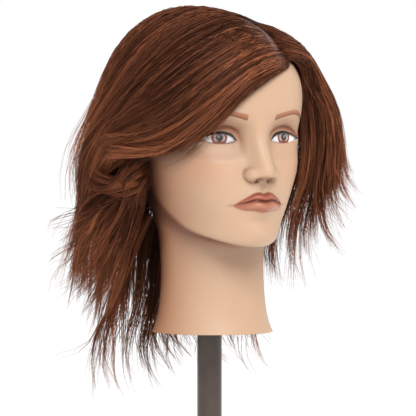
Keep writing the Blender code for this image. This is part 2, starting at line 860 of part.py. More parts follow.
def make_screw():
    """The clamp screw with its pressure foot, sliding bar and bar caps."""
    foot_top = PRESSURE_TOP - 3 * MM
    turned(
        "pressure_foot",
        [(0, foot_top), (18 * MM, foot_top), (19 * MM, foot_top - 1 * MM)]
        + [(19 * MM, foot_top - 3 * MM), (11 * MM, foot_top - 6 * MM)]
        + [(11 * MM, foot_top - 10 * MM), (5 * MM, foot_top - 10 * MM)]
        + [(5 * MM, foot_top - 8.5 * MM), (7 * MM, foot_top - 6.5 * MM)]
        + [(7 * MM, foot_top - 3 * MM), (0, foot_top - 3 * MM)],
        CAST,
    )
    turned(
        "pressure_pad",
        [(0, PRESSURE_TOP), (17 * MM, PRESSURE_TOP), (18 * MM, PRESSURE_TOP - 1 * MM)]
        + [(18 * MM, foot_top + GAP), (0, foot_top + GAP)],
        RUBBER,
    )
    head_high, head_low = BAR_Z + 8 * MM, BAR_Z - 8 * MM
    screw = turned(
        "clamp_screw",
        [(0, foot_top - 3.4 * MM), (5 * MM, foot_top - 3.4 * MM)]
        + [(6.5 * MM, foot_top - 4.6 * MM), (6.5 * MM, foot_top - 6.4 * MM)]
        + [(4.6 * MM, foot_top - 8.2 * MM), (4.6 * MM, foot_top - 11 * MM)]
        + [(SCREW_RADIUS, foot_top - 12.4 * MM), (SCREW_RADIUS, head_high)]
        + [(8 * MM, head_high), (9 * MM, head_high - 1 * MM)]
        + [(9 * MM, head_low + 1 * MM), (8 * MM, head_low), (0, head_low)],
        STEEL,
        facets=24,
    )
    bar_hole = rod_cutter(
        "bar_hole", BAR_RADIUS + 0.3 * MM, -20 * MM, 20 * MM, "X", (0, 0, BAR_Z), 16
    )
    boolean(screw, bar_hole)
    bar = turned(
        "tommy_bar",
        [(0, -BAR_HALF), (BAR_RADIUS, -BAR_HALF), (BAR_RADIUS, BAR_HALF), (0, BAR_HALF)],
        STEEL,
        facets=SMALL_ROUND,
    )
    bar.rotation_euler = (0, math.pi / 2, 0)
    bar.location = (0, 0, BAR_Z)
    for name, side in (("bar_cap_right", -1), ("bar_cap_left", 1)):
        inner_end, outer_end = BAR_HALF - 7 * MM, BAR_HALF + 4 * MM
        cap = turned(
            name,
            [(BAR_RADIUS + 0.3 * MM, inner_end), (5 * MM, inner_end)]
            + [(5.5 * MM, inner_end + 1 * MM), (5.5 * MM, outer_end - 2 * MM)]
            + [(3.5 * MM, outer_end), (0, outer_end), (0, BAR_HALF + GAP)]
            + [(BAR_RADIUS + 0.3 * MM, BAR_HALF + GAP)],
            RUBBER,
            facets=SMALL_ROUND,
        )
        cap.rotation_euler = (0, side * math.pi / 2, 0)
        cap.location = (0, 0, BAR_Z)


clear_scene()
VINYL = material("vinyl_skin", (0.72, 0.47, 0.31), 0.45)
FOAM = material("rigid_foam", (0.86, 0.80, 0.62), 0.9)
HAIR = material("brown_hair", (0.06, 0.025, 0.015), 0.5)
PLASTIC_DARK = material("dark_plastic", (0.03, 0.03, 0.03), 0.4)
PLASTIC_PALE = material("pale_plastic", (0.75, 0.72, 0.66), 0.5)
BRONZE_PAINT = material("bronze_paint", (0.10, 0.075, 0.06), 0.35, 0.6)
CAST = material("cast_paint", (0.05, 0.05, 0.05), 0.5, 0.3)
STEEL = material("zinc_steel", (0.55, 0.55, 0.56), 0.3, 1.0)
RUBBER = material("black_rubber", (0.02, 0.02, 0.02), 0.8)
BRASS = material("brass", (0.75, 0.55, 0.25), 0.35, 1.0)

make_skin()
make_foam_core()
make_socket()
make_crown_hair()
make_side_hair()
make_post()
make_knuckle()
make_frame()
make_screw()
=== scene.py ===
"""Looks of a mannequin training head on its table clamp.

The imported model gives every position.  The vinyl head, its painted make-up and the
implanted hair are new surfaces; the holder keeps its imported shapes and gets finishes.
Head sizes are millimetres above the neck's lower rim, with the face along -Y.
"""

import logging
import math
from collections.abc import Callable
from dataclasses import dataclass, field
from enum import Enum

import bpy
import numpy as np
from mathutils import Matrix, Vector


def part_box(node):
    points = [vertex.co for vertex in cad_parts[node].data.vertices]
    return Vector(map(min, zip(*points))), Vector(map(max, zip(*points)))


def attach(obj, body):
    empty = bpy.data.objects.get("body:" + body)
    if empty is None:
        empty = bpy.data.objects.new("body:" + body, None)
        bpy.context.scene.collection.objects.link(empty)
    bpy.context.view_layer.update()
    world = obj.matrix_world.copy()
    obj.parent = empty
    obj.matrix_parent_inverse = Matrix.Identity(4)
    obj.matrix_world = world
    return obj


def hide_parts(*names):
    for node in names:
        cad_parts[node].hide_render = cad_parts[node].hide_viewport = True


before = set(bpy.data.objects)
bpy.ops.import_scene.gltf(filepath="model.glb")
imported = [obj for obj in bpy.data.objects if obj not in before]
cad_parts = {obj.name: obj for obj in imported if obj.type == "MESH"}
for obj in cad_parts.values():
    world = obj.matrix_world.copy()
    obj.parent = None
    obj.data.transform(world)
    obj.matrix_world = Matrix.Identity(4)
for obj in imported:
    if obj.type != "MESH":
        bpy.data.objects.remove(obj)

Color = tuple[float, float, float]
Graph = tuple[tuple[float, float], ...]
Point = tuple[float, float, float]
Lay = Callable[[Color, np.ndarray], None]
Rail = tuple[Point, ...]
Socket = bpy.types.NodeSocket

LOG = logging.getLogger("training_head")
MM = 0.001
SEED = 20
MATT = 0.52  # roughness of bare vinyl
CROWN_GAP = 0.3  # how far below its last section the head's surface is closed, in sections
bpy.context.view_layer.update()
HEAD_FORWARD = 0.005  # how far the neck's centre lies in front of the post
HEAD_ORIGIN = np.array([0.0, -HEAD_FORWARD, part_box("head_skin")[0].z])


# Curves and grids -----------------------------------------------------------------
def spline(knots: np.ndarray, values: np.ndarray, at: np.ndarray) -> np.ndarray:
    """A natural cubic spline through points.

    Args:
        knots: Rising parameter values, one for each point.
        values: The points, shape (knots, dimensions).
        at: Where to read the spline.

    Returns:
        The spline's points, shape (len(at), dimensions).
    """
    step = np.diff(knots)
    slope = np.diff(values, axis=0) / step[:, None]
    count = len(knots)
    system = np.eye(count)
    right = np.zeros((count, values.shape[1]))
    inner = np.arange(1, count - 1)
    system[inner, inner - 1] = step[:-1]
    system[inner, inner] = 2 * (step[:-1] + step[1:])
    system[inner, inner + 1] = step[1:]
    right[inner] = 6 * np.diff(slope, axis=0)
    bend = np.linalg.solve(system, right)
    i = np.clip(np.searchsorted(knots, at, "right") - 1, 0, count - 2)
    h = step[i][:, None]
    a = (knots[i + 1] - at)[:, None] / h
    b = 1 - a
    cubic = (a**3 - a) * bend[i] + (b**3 - b) * bend[i + 1]
    return a * values[i] + b * values[i + 1] + cubic * h * h / 6


def curve(points: Graph, at: np.ndarray) -> np.ndarray:
    """A smooth graph through (position, value) points, flat beyond its ends.

    Args:
        points: The graph's points, from low to high positions.
        at: Where to read it.

    Returns:
        The values, in the shape of at.
    """
    table = np.array(points, float)
    clipped = np.clip(at, table[0, 0], table[-1, 0])
    return spline(table[:, 0], table[:, 1:], clipped.ravel())[:, 0].reshape(at.shape)


def ramp(low: float, high: float, at: np.ndarray) -> np.ndarray:
    """Rises smoothly from 0 at low to 1 at high: 3s^2 - 2s^3."""
    share = np.clip((at - low) / (high - low), 0, 1)
    return share * share * (3 - 2 * share)


def hill(*offsets: np.ndarray) -> np.ndarray:
    """A bell of height 1: exp(-(a^2 + b^2 + ...)) of offsets in half-widths."""
    return np.exp(-sum(offset * offset for offset in offsets))


def spaced(low: float, high: float, count: int, crowding: list[Point]) -> np.ndarray:
    """Positions from low to high that crowd together over some stretches.

    Args:
        low: First position.
        high: Last position.
        count: How many positions.
        crowding: (from, to, extra density) of each crowded stretch.

    Returns:
        The positions, found by inverting the summed density.
    """
    fine = np.linspace(low, high, 2000)
    density = np.ones_like(fine)
    for start, end, extra in crowding:
        edge = 0.08 * (end - start)
        density += extra * ramp(start - edge, start + edge, fine)
        density -= extra * ramp(end - edge, end + edge, fine)
    total = np.concatenate([[0], np.cumsum((density[1:] + density[:-1]) / 2)])
    return np.interp(np.linspace(0, total[-1], count), total, fine)


def grid_quads(rows: int, columns: int, closed: bool, first: int = 0) -> np.ndarray:
    """The quads of a grid of points numbered row by row from first.

    Args:
        rows: Rows of points.
        columns: Points in a row.
        closed: Whether a row joins up into a ring.
        first: Number of the first point.

    Returns:
        Vertex numbers, shape (quads, 4).
    """
    across = columns if closed else columns - 1
    r, c = np.meshgrid(np.arange(rows - 1), np.arange(across), indexing="ij")
    r, c = r.ravel(), c.ravel()
    after = (c + 1) % columns
    near, far = r * columns, (r + 1) * columns
    return np.stack([near + c, near + after, far + after, far + c], 1) + first


def add_mesh(
    name: str, points: np.ndarray, faces: list | np.ndarray, material: bpy.types.Material
) -> bpy.types.Object:
    """Makes a smooth-shaded object from points in metres and faces.

    Args:
        name: The object's name.
        points: Vertex positions, shape (n, 3).
        faces: Vertex numbers of each face.
        material: Its finish.

    Returns:
        The new object, at the origin.
    """
    mesh = bpy.data.meshes.new(name)
    mesh.from_pydata(points, [], faces)
    mesh.materials.append(material)
    mesh.shade_smooth()
    mesh.update()
    obj = bpy.data.objects.new(name, mesh)
    bpy.context.scene.collection.objects.link(obj)
    return obj


def add_color(obj: bpy.types.Object, name: str, values: np.ndarray) -> None:
    """Stores one RGBA value for each vertex as an attribute that materials read."""
    layer = obj.data.attributes.new(name, "FLOAT_COLOR", "POINT")
    layer.data.foreach_set("color", np.ascontiguousarray(values, np.float32).ravel())


# Finishes ---------------------------------------------------------------------------
def linear(red: float, green: float, blue: float) -> Color:
    """An sRGB colour out of 255 as linear light."""
    return tuple(
        c / 12.92 if c <= 0.04045 else ((c + 0.055) / 1.055) ** 2.4
        for c in (red / 255, green / 255, blue / 255)
    )


class Shader:
    """A Principled material and the few nodes that its pattern needs."""

    MIX_INPUTS = (0, 6, 7)  # a Mix node's factor and its two colours
    MIX_RESULT = 2

    def __init__(self, name: str) -> None:
        """Starts a material with its Principled shader and output.

        Args:
            name: The material's name.
        """
        self.material = bpy.data.materials.new(name)
        self.material.use_nodes = True
        self.tree = self.material.node_tree
        self.principled = self.tree.nodes["Principled BSDF"]

    def node(self, kind: str, **settings: object) -> bpy.types.Node:
        """Adds a node and sets its properties and its input sockets by name.

        Args:
            kind: The node's type.
            settings: Values by name, with _ for a space in a socket's name.

        Returns:
            The node.
        """
        made = self.tree.nodes.new(kind)
        for name, value in settings.items():
            if hasattr(made, name):
                setattr(made, name, value)
            else:
                made.inputs[name.replace("_", " ")].default_value = value
        return made

    def link(self, source: Socket, target: Socket) -> None:
        """Joins an output to an input."""
        self.tree.links.new(source, target)

    def set(self, **values: object) -> None:
        """Sets sockets of the Principled shader, with _ for a space in a name."""
        for name, value in values.items():
            self.principled.inputs[name.replace("_", " ")].default_value = value

    def coordinates(self) -> Socket:
        """The piece's own coordinates in metres."""
        return self.node("ShaderNodeTexCoord").outputs["Object"]

    def stretched(self, scale: Point) -> Socket:
        """Object coordinates with a scale along each axis.

        Args:
            scale: Scale along X, Y and Z.

        Returns:
            The scaled coordinates.
        """
        mapping = self.node("ShaderNodeMapping")
        mapping.inputs["Scale"].default_value = scale
        self.link(self.coordinates(), mapping.inputs["Vector"])
        return mapping.outputs["Vector"]

    def noise(self, scale: float, detail: float = 2.0, along: Socket | None = None) -> Socket:
        """Cloudy noise from 0 to 1.

        Args:
            scale: Cells in a metre.
            detail: Finer layers on top of the first.
            along: Coordinates, or None for the piece's own.

        Returns:
            The noise.
        """
        made = self.node("ShaderNodeTexNoise")
        made.inputs["Scale"].default_value = scale
        made.inputs["Detail"].default_value = detail
        self.link(along or self.coordinates(), made.inputs["Vector"])
        return made.outputs["Fac"]

    def between(self, value: Socket, low: float, high: float) -> Socket:
        """Rescales a 0 to 1 value to run from low to high.

        Args:
            value: The value.
            low: What 0 becomes.
            high: What 1 becomes.

        Returns:
            The rescaled value.
        """
        made = self.node("ShaderNodeMapRange")
        made.inputs["To Min"].default_value = low
        made.inputs["To Max"].default_value = high
        self.link(value, made.inputs["Value"])
        return made.outputs["Result"]

    def mixed(self, share: Socket | float, first: object, second: object) -> Socket:
        """Mixes two colours, each a socket or an RGB tuple.

        Args:
            share: How much of the second there is, from 0 to 1.
            first: The first colour.
            second: The second colour.

        Returns:
            The mixed colour.
        """
        made = self.node("ShaderNodeMix", data_type="RGBA")
        sockets = (made.inputs[k] for k in self.MIX_INPUTS)
        for value, socket in zip((share, first, second), sockets):
            if isinstance(value, Socket):
                self.link(value, socket)
            elif isinstance(value, tuple):
                socket.default_value = (*value, 1.0)
            else:
                socket.default_value = value
        return made.outputs[self.MIX_RESULT]

    def bump(self, height: Socket, strength: float, distance: float) -> None:
        """Raises the surface by a height pattern.

        Args:
            height: The pattern.
            strength: How strongly it shows.
            distance: Its height in metres.
        """
        made = self.node("ShaderNodeBump")
        made.inputs["Strength"].default_value = strength
        made.inputs["Distance"].default_value = distance
        self.link(height, made.inputs["Height"])
        self.link(made.outputs["Normal"], self.principled.inputs["Normal"])


@dataclass(frozen=True)
class VinylSkin:
    """Matt flesh vinyl: airbrushed make-up read from the mesh, painted shade in hollows."""

    tone: Color = linear(178, 146, 118)
    warm: Color = linear(172, 136, 107)
    # painted shade: the colour that ambient occlusion darkens hollows and the underside of the chin
    # towards
    hollow: Color = linear(118, 76, 50)

    def build(self) -> bpy.types.Material:
        """Builds the finish.

        Returns:
            The material.
        """
        shader = Shader("vinyl_skin")
        cloud = shader.between(shader.noise(35, 3), 0.0, 0.7)
        base = shader.mixed(cloud, self.tone, self.warm)
        paint = shader.node("ShaderNodeAttribute", attribute_name="paint")
        painted = shader.mixed(paint.outputs["Alpha"], base, paint.outputs["Color"])
        # Painted shade: ambient occlusion mixes the colour towards the hollow tone in creases,
        # hollows and under the chin.
        reach = shader.node("ShaderNodeAmbientOcclusion", samples=8)
        reach.inputs["Distance"].default_value = 0.09
        open_sky = shader.node("ShaderNodeMapRange", interpolation_type="SMOOTHSTEP")
        open_sky.inputs["From Min"].default_value = 0.3
        open_sky.inputs["From Max"].default_value = 0.95
        shader.link(reach.outputs["AO"], open_sky.inputs["Value"])
        shade = shader.mixed(open_sky.outputs["Result"], self.hollow, (1.0, 1.0, 1.0))
        shaded = shader.node("ShaderNodeMix", data_type="RGBA", blend_type="MULTIPLY")
        factor, under, over = (shaded.inputs[k] for k in shader.MIX_INPUTS)
        factor.default_value = 1.0
        shader.link(painted, under)
        shader.link(shade, over)
        shader.link(shaded.outputs[shader.MIX_RESULT], shader.principled.inputs["Base Color"])
        gloss = shader.node("ShaderNodeAttribute", attribute_name="gloss")
        shader.link(gloss.outputs["Fac"], shader.principled.inputs["Roughness"])
        shader.bump(shader.noise(1400, 2), 0.12, 0.0002)
        shader.set(Subsurface_Weight=0.12, Subsurface_Scale=0.004, Specular_IOR_Level=0.4)
        shader.set(Subsurface_Radius=(1.0, 0.45, 0.25))
        return shader.material


@dataclass(frozen=True)
class HumanHair:
    """Dyed chestnut hair: every strand has its own tone, with painted shade and highlights,
    and warmer towards its tip by painted back light.
    """

    name: str = "chestnut_hair"
    dark: Color = linear(24, 12, 7)
    mid: Color = linear(82, 44, 28)
    light: Color = linear(162, 98, 67)
    gloss: float = 0.07

    def build(self) -> bpy.types.Material:
        """Builds the finish.

        Returns:
            The material.
        """
        shader = Shader(self.name)
        tone = shader.node("ShaderNodeAttribute", attribute_name="tone")
        parts = shader.node("ShaderNodeSeparateColor")
        shader.link(tone.outputs["Color"], parts.inputs["Color"])
        body = shader.mixed(parts.outputs["Red"], self.dark, self.mid)
        color = shader.mixed(parts.outputs["Green"], body, self.light)
        shader.link(color, shader.principled.inputs["Base Color"])
        shader.set(Roughness=0.42, Specular_IOR_Level=self.gloss, IOR=1.35)
        return shader.material


@dataclass(frozen=True)
class PaintedMetal:
    """Satin or textured paint on metal, rubbed a little lighter in places."""

    name: str
    color: Color
    worn: Color
    roughness: float
    metallic: float
    grain: float
    depth: float

    def build(self) -> bpy.types.Material:
        """Builds the finish.

        Returns:
            The material.
        """
        shader = Shader(self.name)
        patches = shader.between(shader.noise(60, 4), -0.4, 1.1)
        paint = shader.mixed(patches, self.color, self.worn)
        shader.link(paint, shader.principled.inputs["Base Color"])
        rough = shader.between(shader.noise(110, 3), self.roughness - 0.06, self.roughness + 0.08)
        shader.link(rough, shader.principled.inputs["Roughness"])
        shader.bump(shader.noise(self.grain, 3), 0.35, self.depth)
        shader.set(Metallic=self.metallic)
        return shader.material


@dataclass(frozen=True)
class TurnedMetal:
    """Plated or turned metal with fine tool marks round the axis of its grain."""

    name: str
    color: Color
    roughness: float
    stretch: Point

    def build(self) -> bpy.types.Material:
        """Builds the finish.

        Returns:
            The material.
        """
        shader = Shader(self.name)
        marks = shader.noise(900, 3, shader.stretched(self.stretch))
        dull = tuple(0.7 * c for c in self.color)
        turned = shader.mixed(shader.between(marks, 0, 0.6), self.color, dull)
        shader.link(turned, shader.principled.inputs["Base Color"])
        rough = shader.between(marks, self.roughness - 0.08, self.roughness + 0.14)
        shader.link(rough, shader.principled.inputs["Roughness"])
        shader.bump(marks, 0.2, 0.0001)
        shader.set(Metallic=1.0)
        return shader.material


@dataclass(frozen=True)
class MouldedPolymer:
    """Moulded plastic, rubber or foam with a fine even grain."""

    name: str
    color: Color
    shade: Color
    roughness: float
    grain: float
    depth: float

    def build(self) -> bpy.types.Material:
        """Builds the finish.

        Returns:
            The material.
        """
        shader = Shader(self.name)
        cloud = shader.between(shader.noise(80, 3), 0.0, 1.0)
        body = shader.mixed(cloud, self.color, self.shade)
        shader.link(body, shader.principled.inputs["Base Color"])
        rough = shader.between(shader.noise(200, 2), self.roughness - 0.05, self.roughness + 0.05)
        shader.link(rough, shader.principled.inputs["Roughness"])
        shader.bump(shader.noise(self.grain, 2), 0.3, self.depth)
        return shader.material


# The head's form ----------------------------------------------------------------------
@dataclass
class HeadForm:
    """The head's surface, as sections joined by a spline and pushed into a face.

    sections holds, from the rim up: the height at the front, side and back, the reach
    to the front, back and side, and the squareness of the front half.
    """

    sections: tuple[tuple[float, ...], ...] = (
        (0, 0, 0, 53, 53, 53, 2.0),
        (6, 6, 6, 50.5, 50.5, 50.5, 2.0),
        (22, 22, 22, 46.8, 47, 46.8, 2.0),
        (50, 50, 50, 45, 46.5, 44.6, 2.0),
        (70, 74, 80, 46, 50, 45.2, 2.0),
        (78, 86, 94, 56, 54, 46, 2.0),
        (76, 93, 106, 70, 60, 47.5, 2.05),
        (79, 101, 118, 78.5, 67, 49, 2.0),
        (90, 112, 132, 82, 77, 52.5, 1.95),
        (112, 130, 150, 83.5, 88, 59, 2.15),
        (142, 150, 168, 82, 94, 65.5, 2.22),
        (168, 172, 188, 80, 95, 68, 2.24),
        (190, 194, 205, 87, 93, 70.5, 2.2),
        (215, 218, 224, 86.5, 85, 69.5, 2.25),
        (240, 240, 243, 76, 72, 60, 2.15),
        (258, 257, 258, 54, 51, 43, 2.1),
        (266.5, 266, 266, 28, 28, 23, 2.0),
        (269, 269, 269, 0.5, 0.5, 0.5, 2.0),
    )
    centre: Point = (0.0, 5.0, 165.0)
    reach_map: np.ndarray = field(init=False)

    def __post_init__(self) -> None:
        """Measures the form once, for hair that has to stay outside it."""
        self.reach_map = self.measure_reach()

    @property
    def top_level(self) -> float:
        """The level of the last section."""
        return float(len(self.sections) - 1)

    def points(self, angle: np.ndarray, level: np.ndarray) -> np.ndarray:
        """Points of the plain form, in millimetres.

        A section is a superellipse: its side goes as a power of the sine of the angle
        and its depth as a power of the cosine, and its height moves from the side's to
        the front's or back's with the cosine squared.

        Args:
            angle: Angles round the head from straight ahead.
            level: Section levels up the form.

        Returns:
            The points, with one more axis than the angles.
        """
        table = np.array(self.sections)
        read = spline(np.arange(len(table), dtype=float), table, level)
        front_z, side_z, back_z, front, back, side, square = read.T
        s, c = np.sin(angle), np.cos(angle)
        ahead = c > 0
        power = np.where(ahead, 2 / square, 1.0)
        x = side * np.sign(s) * np.abs(s) ** power
        y = -np.where(ahead, front, back) * np.sign(c) * np.abs(c) ** power
        z = side_z + (np.where(ahead, front_z, back_z) - side_z) * c * c
        return np.stack([x, y, z], -1)

    def measure_reach(self, rows: int = 181, columns: int = 241) -> np.ndarray:
        """The distance from the head's centre to its surface in every direction.

        Args:
            rows: Polar angles in the grid.
            columns: Bearings in the grid.

        Returns:
            A (polar angle, bearing) grid of distances in millimetres.
        """
        levels = np.linspace(0, self.top_level, 260)
        angles = np.linspace(-math.pi, math.pi, 361)
        level, angle = np.meshgrid(levels, angles, indexing="ij")
        plain = self.points(angle.ravel(), level.ravel()).reshape(*level.shape, 3)
        ray = plain - np.array(self.centre)
        reach = np.linalg.norm(ray, axis=-1)
        polar = np.arccos(ray[..., 2] / reach)
        bearing = np.arctan2(ray[..., 0], -ray[..., 1])
        bearings = np.linspace(-math.pi, math.pi, columns)
        polars = np.linspace(0, math.pi, rows)
        by_row = [
            (np.interp(bearings, b[1:-1], p[1:-1]), np.interp(bearings, b[1:-1], r[1:-1]))
            for b, p, r in zip(bearing, polar, reach)
        ]
        polar_grid, reach_grid = (np.array([pair[k] for pair in by_row]) for k in (0, 1))
        return np.stack(
            [np.interp(polars, polar_grid[::-1, c], reach_grid[::-1, c]) for c in range(columns)], 1
        )

    def clearance(self, points: np.ndarray) -> tuple[np.ndarray, np.ndarray]:
        """How far points stand off the plain form along rays from its centre.

        That is a point's distance from the centre less the form's reach in its direction,
        read between the four nearest directions of the grid.

        Args:
            points: Positions in millimetres, shape (..., 3).

        Returns:
            The signed distances, and the unit rays.
        """
        ray = points - np.array(self.centre)
        length = np.linalg.norm(ray, axis=-1)
        ray = ray / length[..., None]
        rows, columns = self.reach_map.shape
        v = np.arccos(np.clip(ray[..., 2], -1, 1)) / math.pi * (rows - 1)
        u = (np.arctan2(ray[..., 0], -ray[..., 1]) + math.pi) / (2 * math.pi) * (columns - 1)
        r0 = np.clip(v.astype(int), 0, rows - 2)
        c0 = np.clip(u.astype(int), 0, columns - 2)
        a, b = v - r0, u - c0
        grid = self.reach_map
        top = grid[r0, c0] * (1 - b) + grid[r0, c0 + 1] * b
        low = grid[r0 + 1, c0] * (1 - b) + grid[r0 + 1, c0 + 1] * b
        return length - (top * (1 - a) + low * a), ray


@dataclass(frozen=True)
class MakeUp:
    """The airbrush's colours, with painted shade and painted highlights among them, and how
    strongly each channel of them takes on the vinyl.
    """

    bare: Color = linear(170, 128, 100)
    painted_side_shade: Color = linear(186, 112, 66)
    painted_jaw_shadow: Color = linear(110, 54, 30)
    blush: Color = linear(214, 150, 120)
    socket: Color = linear(196, 140, 108)
    lid: Color = linear(205, 150, 120)
    crease: Color = linear(162, 92, 64)
    inner: Color = linear(196, 150, 118)
    nostril: Color = linear(150, 98, 72)
    wing: Color = linear(170, 116, 88)
    brow: Color = linear(184, 120, 78)
    brow_edge: Color = linear(128, 66, 38)
    rim: Color = linear(214, 168, 140)
    iris: Color = linear(150, 76, 46)
    pupil: Color = linear(62, 58, 58)
    glint: Color = linear(165, 165, 168)
    liner: Color = linear(26, 25, 26)
    upper_lip: Color = linear(180, 104, 84)
    lower_lip: Color = linear(186, 115, 90)
    painted_lip_highlight: Color = linear(222, 170, 146)
    seam: Color = linear(150, 86, 70)
    white: Color = (1.1, 1.2, 1.42)
    iris_highlight: Color = (0.95, 0.98, 1.1)
    strength: Color = (0.6, 0.54, 0.46)


@dataclass(frozen=True)
class Swell:
    """A soft mound of the face, mirrored, or a hollow where its height is negative."""

    height: float
    side: float
    half_width: float
    z: float
    half_height: float

    def reach(self, side: np.ndarray, z: np.ndarray) -> np.ndarray:
        """Its forward reach: the height times a bell of the two offsets."""
        aside, above = side - self.side, z - self.z
        return self.height * hill(aside / self.half_width, above / self.half_height)


FEATURES = (
    Swell(6.0, 0, 15.5, 115, 14),  # muzzle
    Swell(-1.2, 24, 6, 112, 9),  # beside the mouth
    Swell(-0.9, 0, 2.6, 128, 4.5),  # groove under the nose
    Swell(-2.0, 0, 15, 99.5, 5),  # under the lower lip
    Swell(3.6, 0, 17, 87, 9),  # chin
    Swell(3.6, 45, 17, 148, 17),  # cheekbone
    Swell(1.2, 34, 18, 190, 6),  # brow
    Swell(-8.6, 28, 16, 174, 12),  # eye socket
    Swell(-2.6, 17.5, 5, 171, 9),  # inner corner of the socket
)


@dataclass
class Face:
    """The moulded features and their painted make-up, with painted shade and highlights,
    mirrored about the middle.

    Positions are (sideways, height) in millimetres; forward is along -Y.
    """

    eye: tuple[float, float] = (33.0, 168.8)
    eye_reach: float = 64.9
    iris: tuple[float, float] = (32.0, 170.4)
    upper_lid: Graph = (
        (18, 167.4), (19.5, 169.2), (22.5, 171.4), (26, 172.8), (31, 173.5),
        (36, 173.1), (41, 171.9), (45, 170.5), (48.5, 169.0),
    )
    lower_lid: Graph = (
        (18, 167.3), (20, 166.5), (23.5, 165.8), (31, 165.3), (38, 165.9), (44.5, 167.4),
        (48.5, 168.8),
    )
    liner_top: Graph = (
        (17, 168.2), (19.5, 172.0), (24.5, 175.0), (30, 175.9), (35, 175.5), (41, 173.8),
        (46, 171.6), (51, 169.0),
    )
    crease: Graph = (
        (14.5, 169), (16.2, 173.5), (19, 176.4), (24, 178.6), (30, 179.2), (36, 178.4), (42, 176.3),
        (50, 172),
    )
    brow_low: Graph = (
        (13, 184.8), (20, 186.9), (28, 188.9), (36, 189.8), (44, 188.9), (52, 186.0), (58, 182.5),
    )
    brow_high: Graph = (
        (13, 189.8), (20, 191.6), (28, 193.2), (36, 194.3), (44, 193.0), (52, 188.6), (58, 183.0),
    )
    nose_ridge: Graph = (
        (126, 0.5), (130, 1.4), (133, 3.0), (135.5, 6.5), (138, 13.0), (141, 16.2), (144.5, 16.8),
        (149, 14.9), (154, 12.3), (160, 9.8), (167, 6.8), (173.5, 4.4), (180, 2.2), (188, 0.0),
    )
    nose_half: Graph = (
        (126, 7), (136, 8.6), (142, 9.9), (147, 10.2), (154, 9.6), (163, 9.0), (174, 8.8), (188, 11),
    )
    # level of the painted shadow under the jawline, at each turn from the front
    jaw_shadow_level: Graph = (
        (0, 6.1), (0.3, 6.0), (0.8, 5.8), (1.2, 6.2), (1.4, 7.0), (1.6, 8.1), (1.8, 9.2),
    )
    mouth_half: float = 23.5
    make_up: MakeUp = MakeUp()
    features: tuple[Swell, ...] = FEATURES

    def lip_lines(self, side: np.ndarray) -> tuple[np.ndarray, np.ndarray, np.ndarray]:
        """Heights of the upper lip's edge, the line between the lips and the lower edge.

        Args:
            side: Distances from the middle.

        Returns:
            The three heights.
        """
        share = np.clip(side / self.mouth_half, 0, 1)
        line = 116.2 + 0.9 * hill((side - 9) / 5) - 3.4 * share**2.4 - 0.3 * hill(side / 3)
        upper = line + (8.2 - 1.6 * hill(side / 2.8)) * (1 - share**1.25) ** 0.85
        lower = line - 9.6 * (1 - share**2.2) ** 0.7
        return upper, line, lower

    def eye_surface(self, side: np.ndarray, z: np.ndarray) -> np.ndarray:
        """How far forward the eyeball stands: a gentle dome that turns with the face.

        Args:
            side: Distances from the middle.
            z: Heights.

        Returns:
            The reach.
        """
        middle, level = self.eye
        dome = 2.4 * (1 - ((side - middle) / 16) ** 2) - (z - level) ** 2 / 24
        return self.eye_reach + (middle - side) * 0.27 + dome

    def eye_opening(self, side: np.ndarray, z: np.ndarray) -> np.ndarray:
        """Distance in millimetres inside the painted eye opening, negative outside.

        Args:
            side: Distances from the middle.
            z: Heights.

        Returns:
            The distances.
        """
        up = curve(self.upper_lid, side) - z
        down = z - curve(self.lower_lid, side)
        ends = np.minimum(side - 18.0, 49 - side)
        return np.minimum(np.minimum(up, down), ends)

    def wing_offsets(self, side: np.ndarray, z: np.ndarray) -> tuple[np.ndarray, np.ndarray]:
        """Offsets from the middle of the nose's wing, in its own half-widths."""
        return (side - 9.4) / 7.2, (z - 139.4) / 7.0

    def nose(self, side: np.ndarray, z: np.ndarray) -> np.ndarray:
        """The nose's forward reach: a ridge and a wing at each side, less the nostrils.

        The ridge and the wing are blended as the root of the sum of their powers.

        Args:
            side: Distances from the middle.
            z: Heights.

        Returns:
            The reach.
        """
        ridge = curve(self.nose_ridge, z) * np.exp(-((side / curve(self.nose_half, z)) ** 2.5))
        ridge *= ramp(122, 128, z)
        aside, above = self.wing_offsets(side, z)
        wing = 9.6 * np.clip(1.06 - (aside**2 + above**2), 0, 1) ** 0.55
        nostril = 3.0 * hill((side - 6.4) / 2.8, (z - 134.2) / 1.6)
        return (np.maximum(ridge, 0) ** 2.6 + wing**2.6) ** (1 / 2.6) - nostril

    def lips(self, side: np.ndarray, z: np.ndarray) -> np.ndarray:
        """The lips' forward reach: two rolls with a groove between them.

        Args:
            side: Distances from the middle.
            z: Heights.

        Returns:
            The reach.
        """
        upper, line, lower = self.lip_lines(side)
        share = np.clip(1 - (side / (self.mouth_half + 0.5)) ** 2, 0, 1)
        up = np.clip((z - line) / np.maximum(upper - line, 0.4), 0, 1)
        down = np.clip((line - z) / np.maximum(line - lower, 0.4), 0, 1)
        roll = 4.0 * share**0.7 * (4 * up * (1 - up)) ** 0.95 * (1 - 0.35 * up)
        roll += 4.4 * share**0.7 * (4 * down * (1 - down)) ** 0.85
        groove = 0.3 * share**0.3 * hill((z - line) / 1.1)
        corner = 1.4 * hill((side - self.mouth_half - 1.5) / 3.2, (z - 110.6) / 2.2)
        return roll - groove - corner

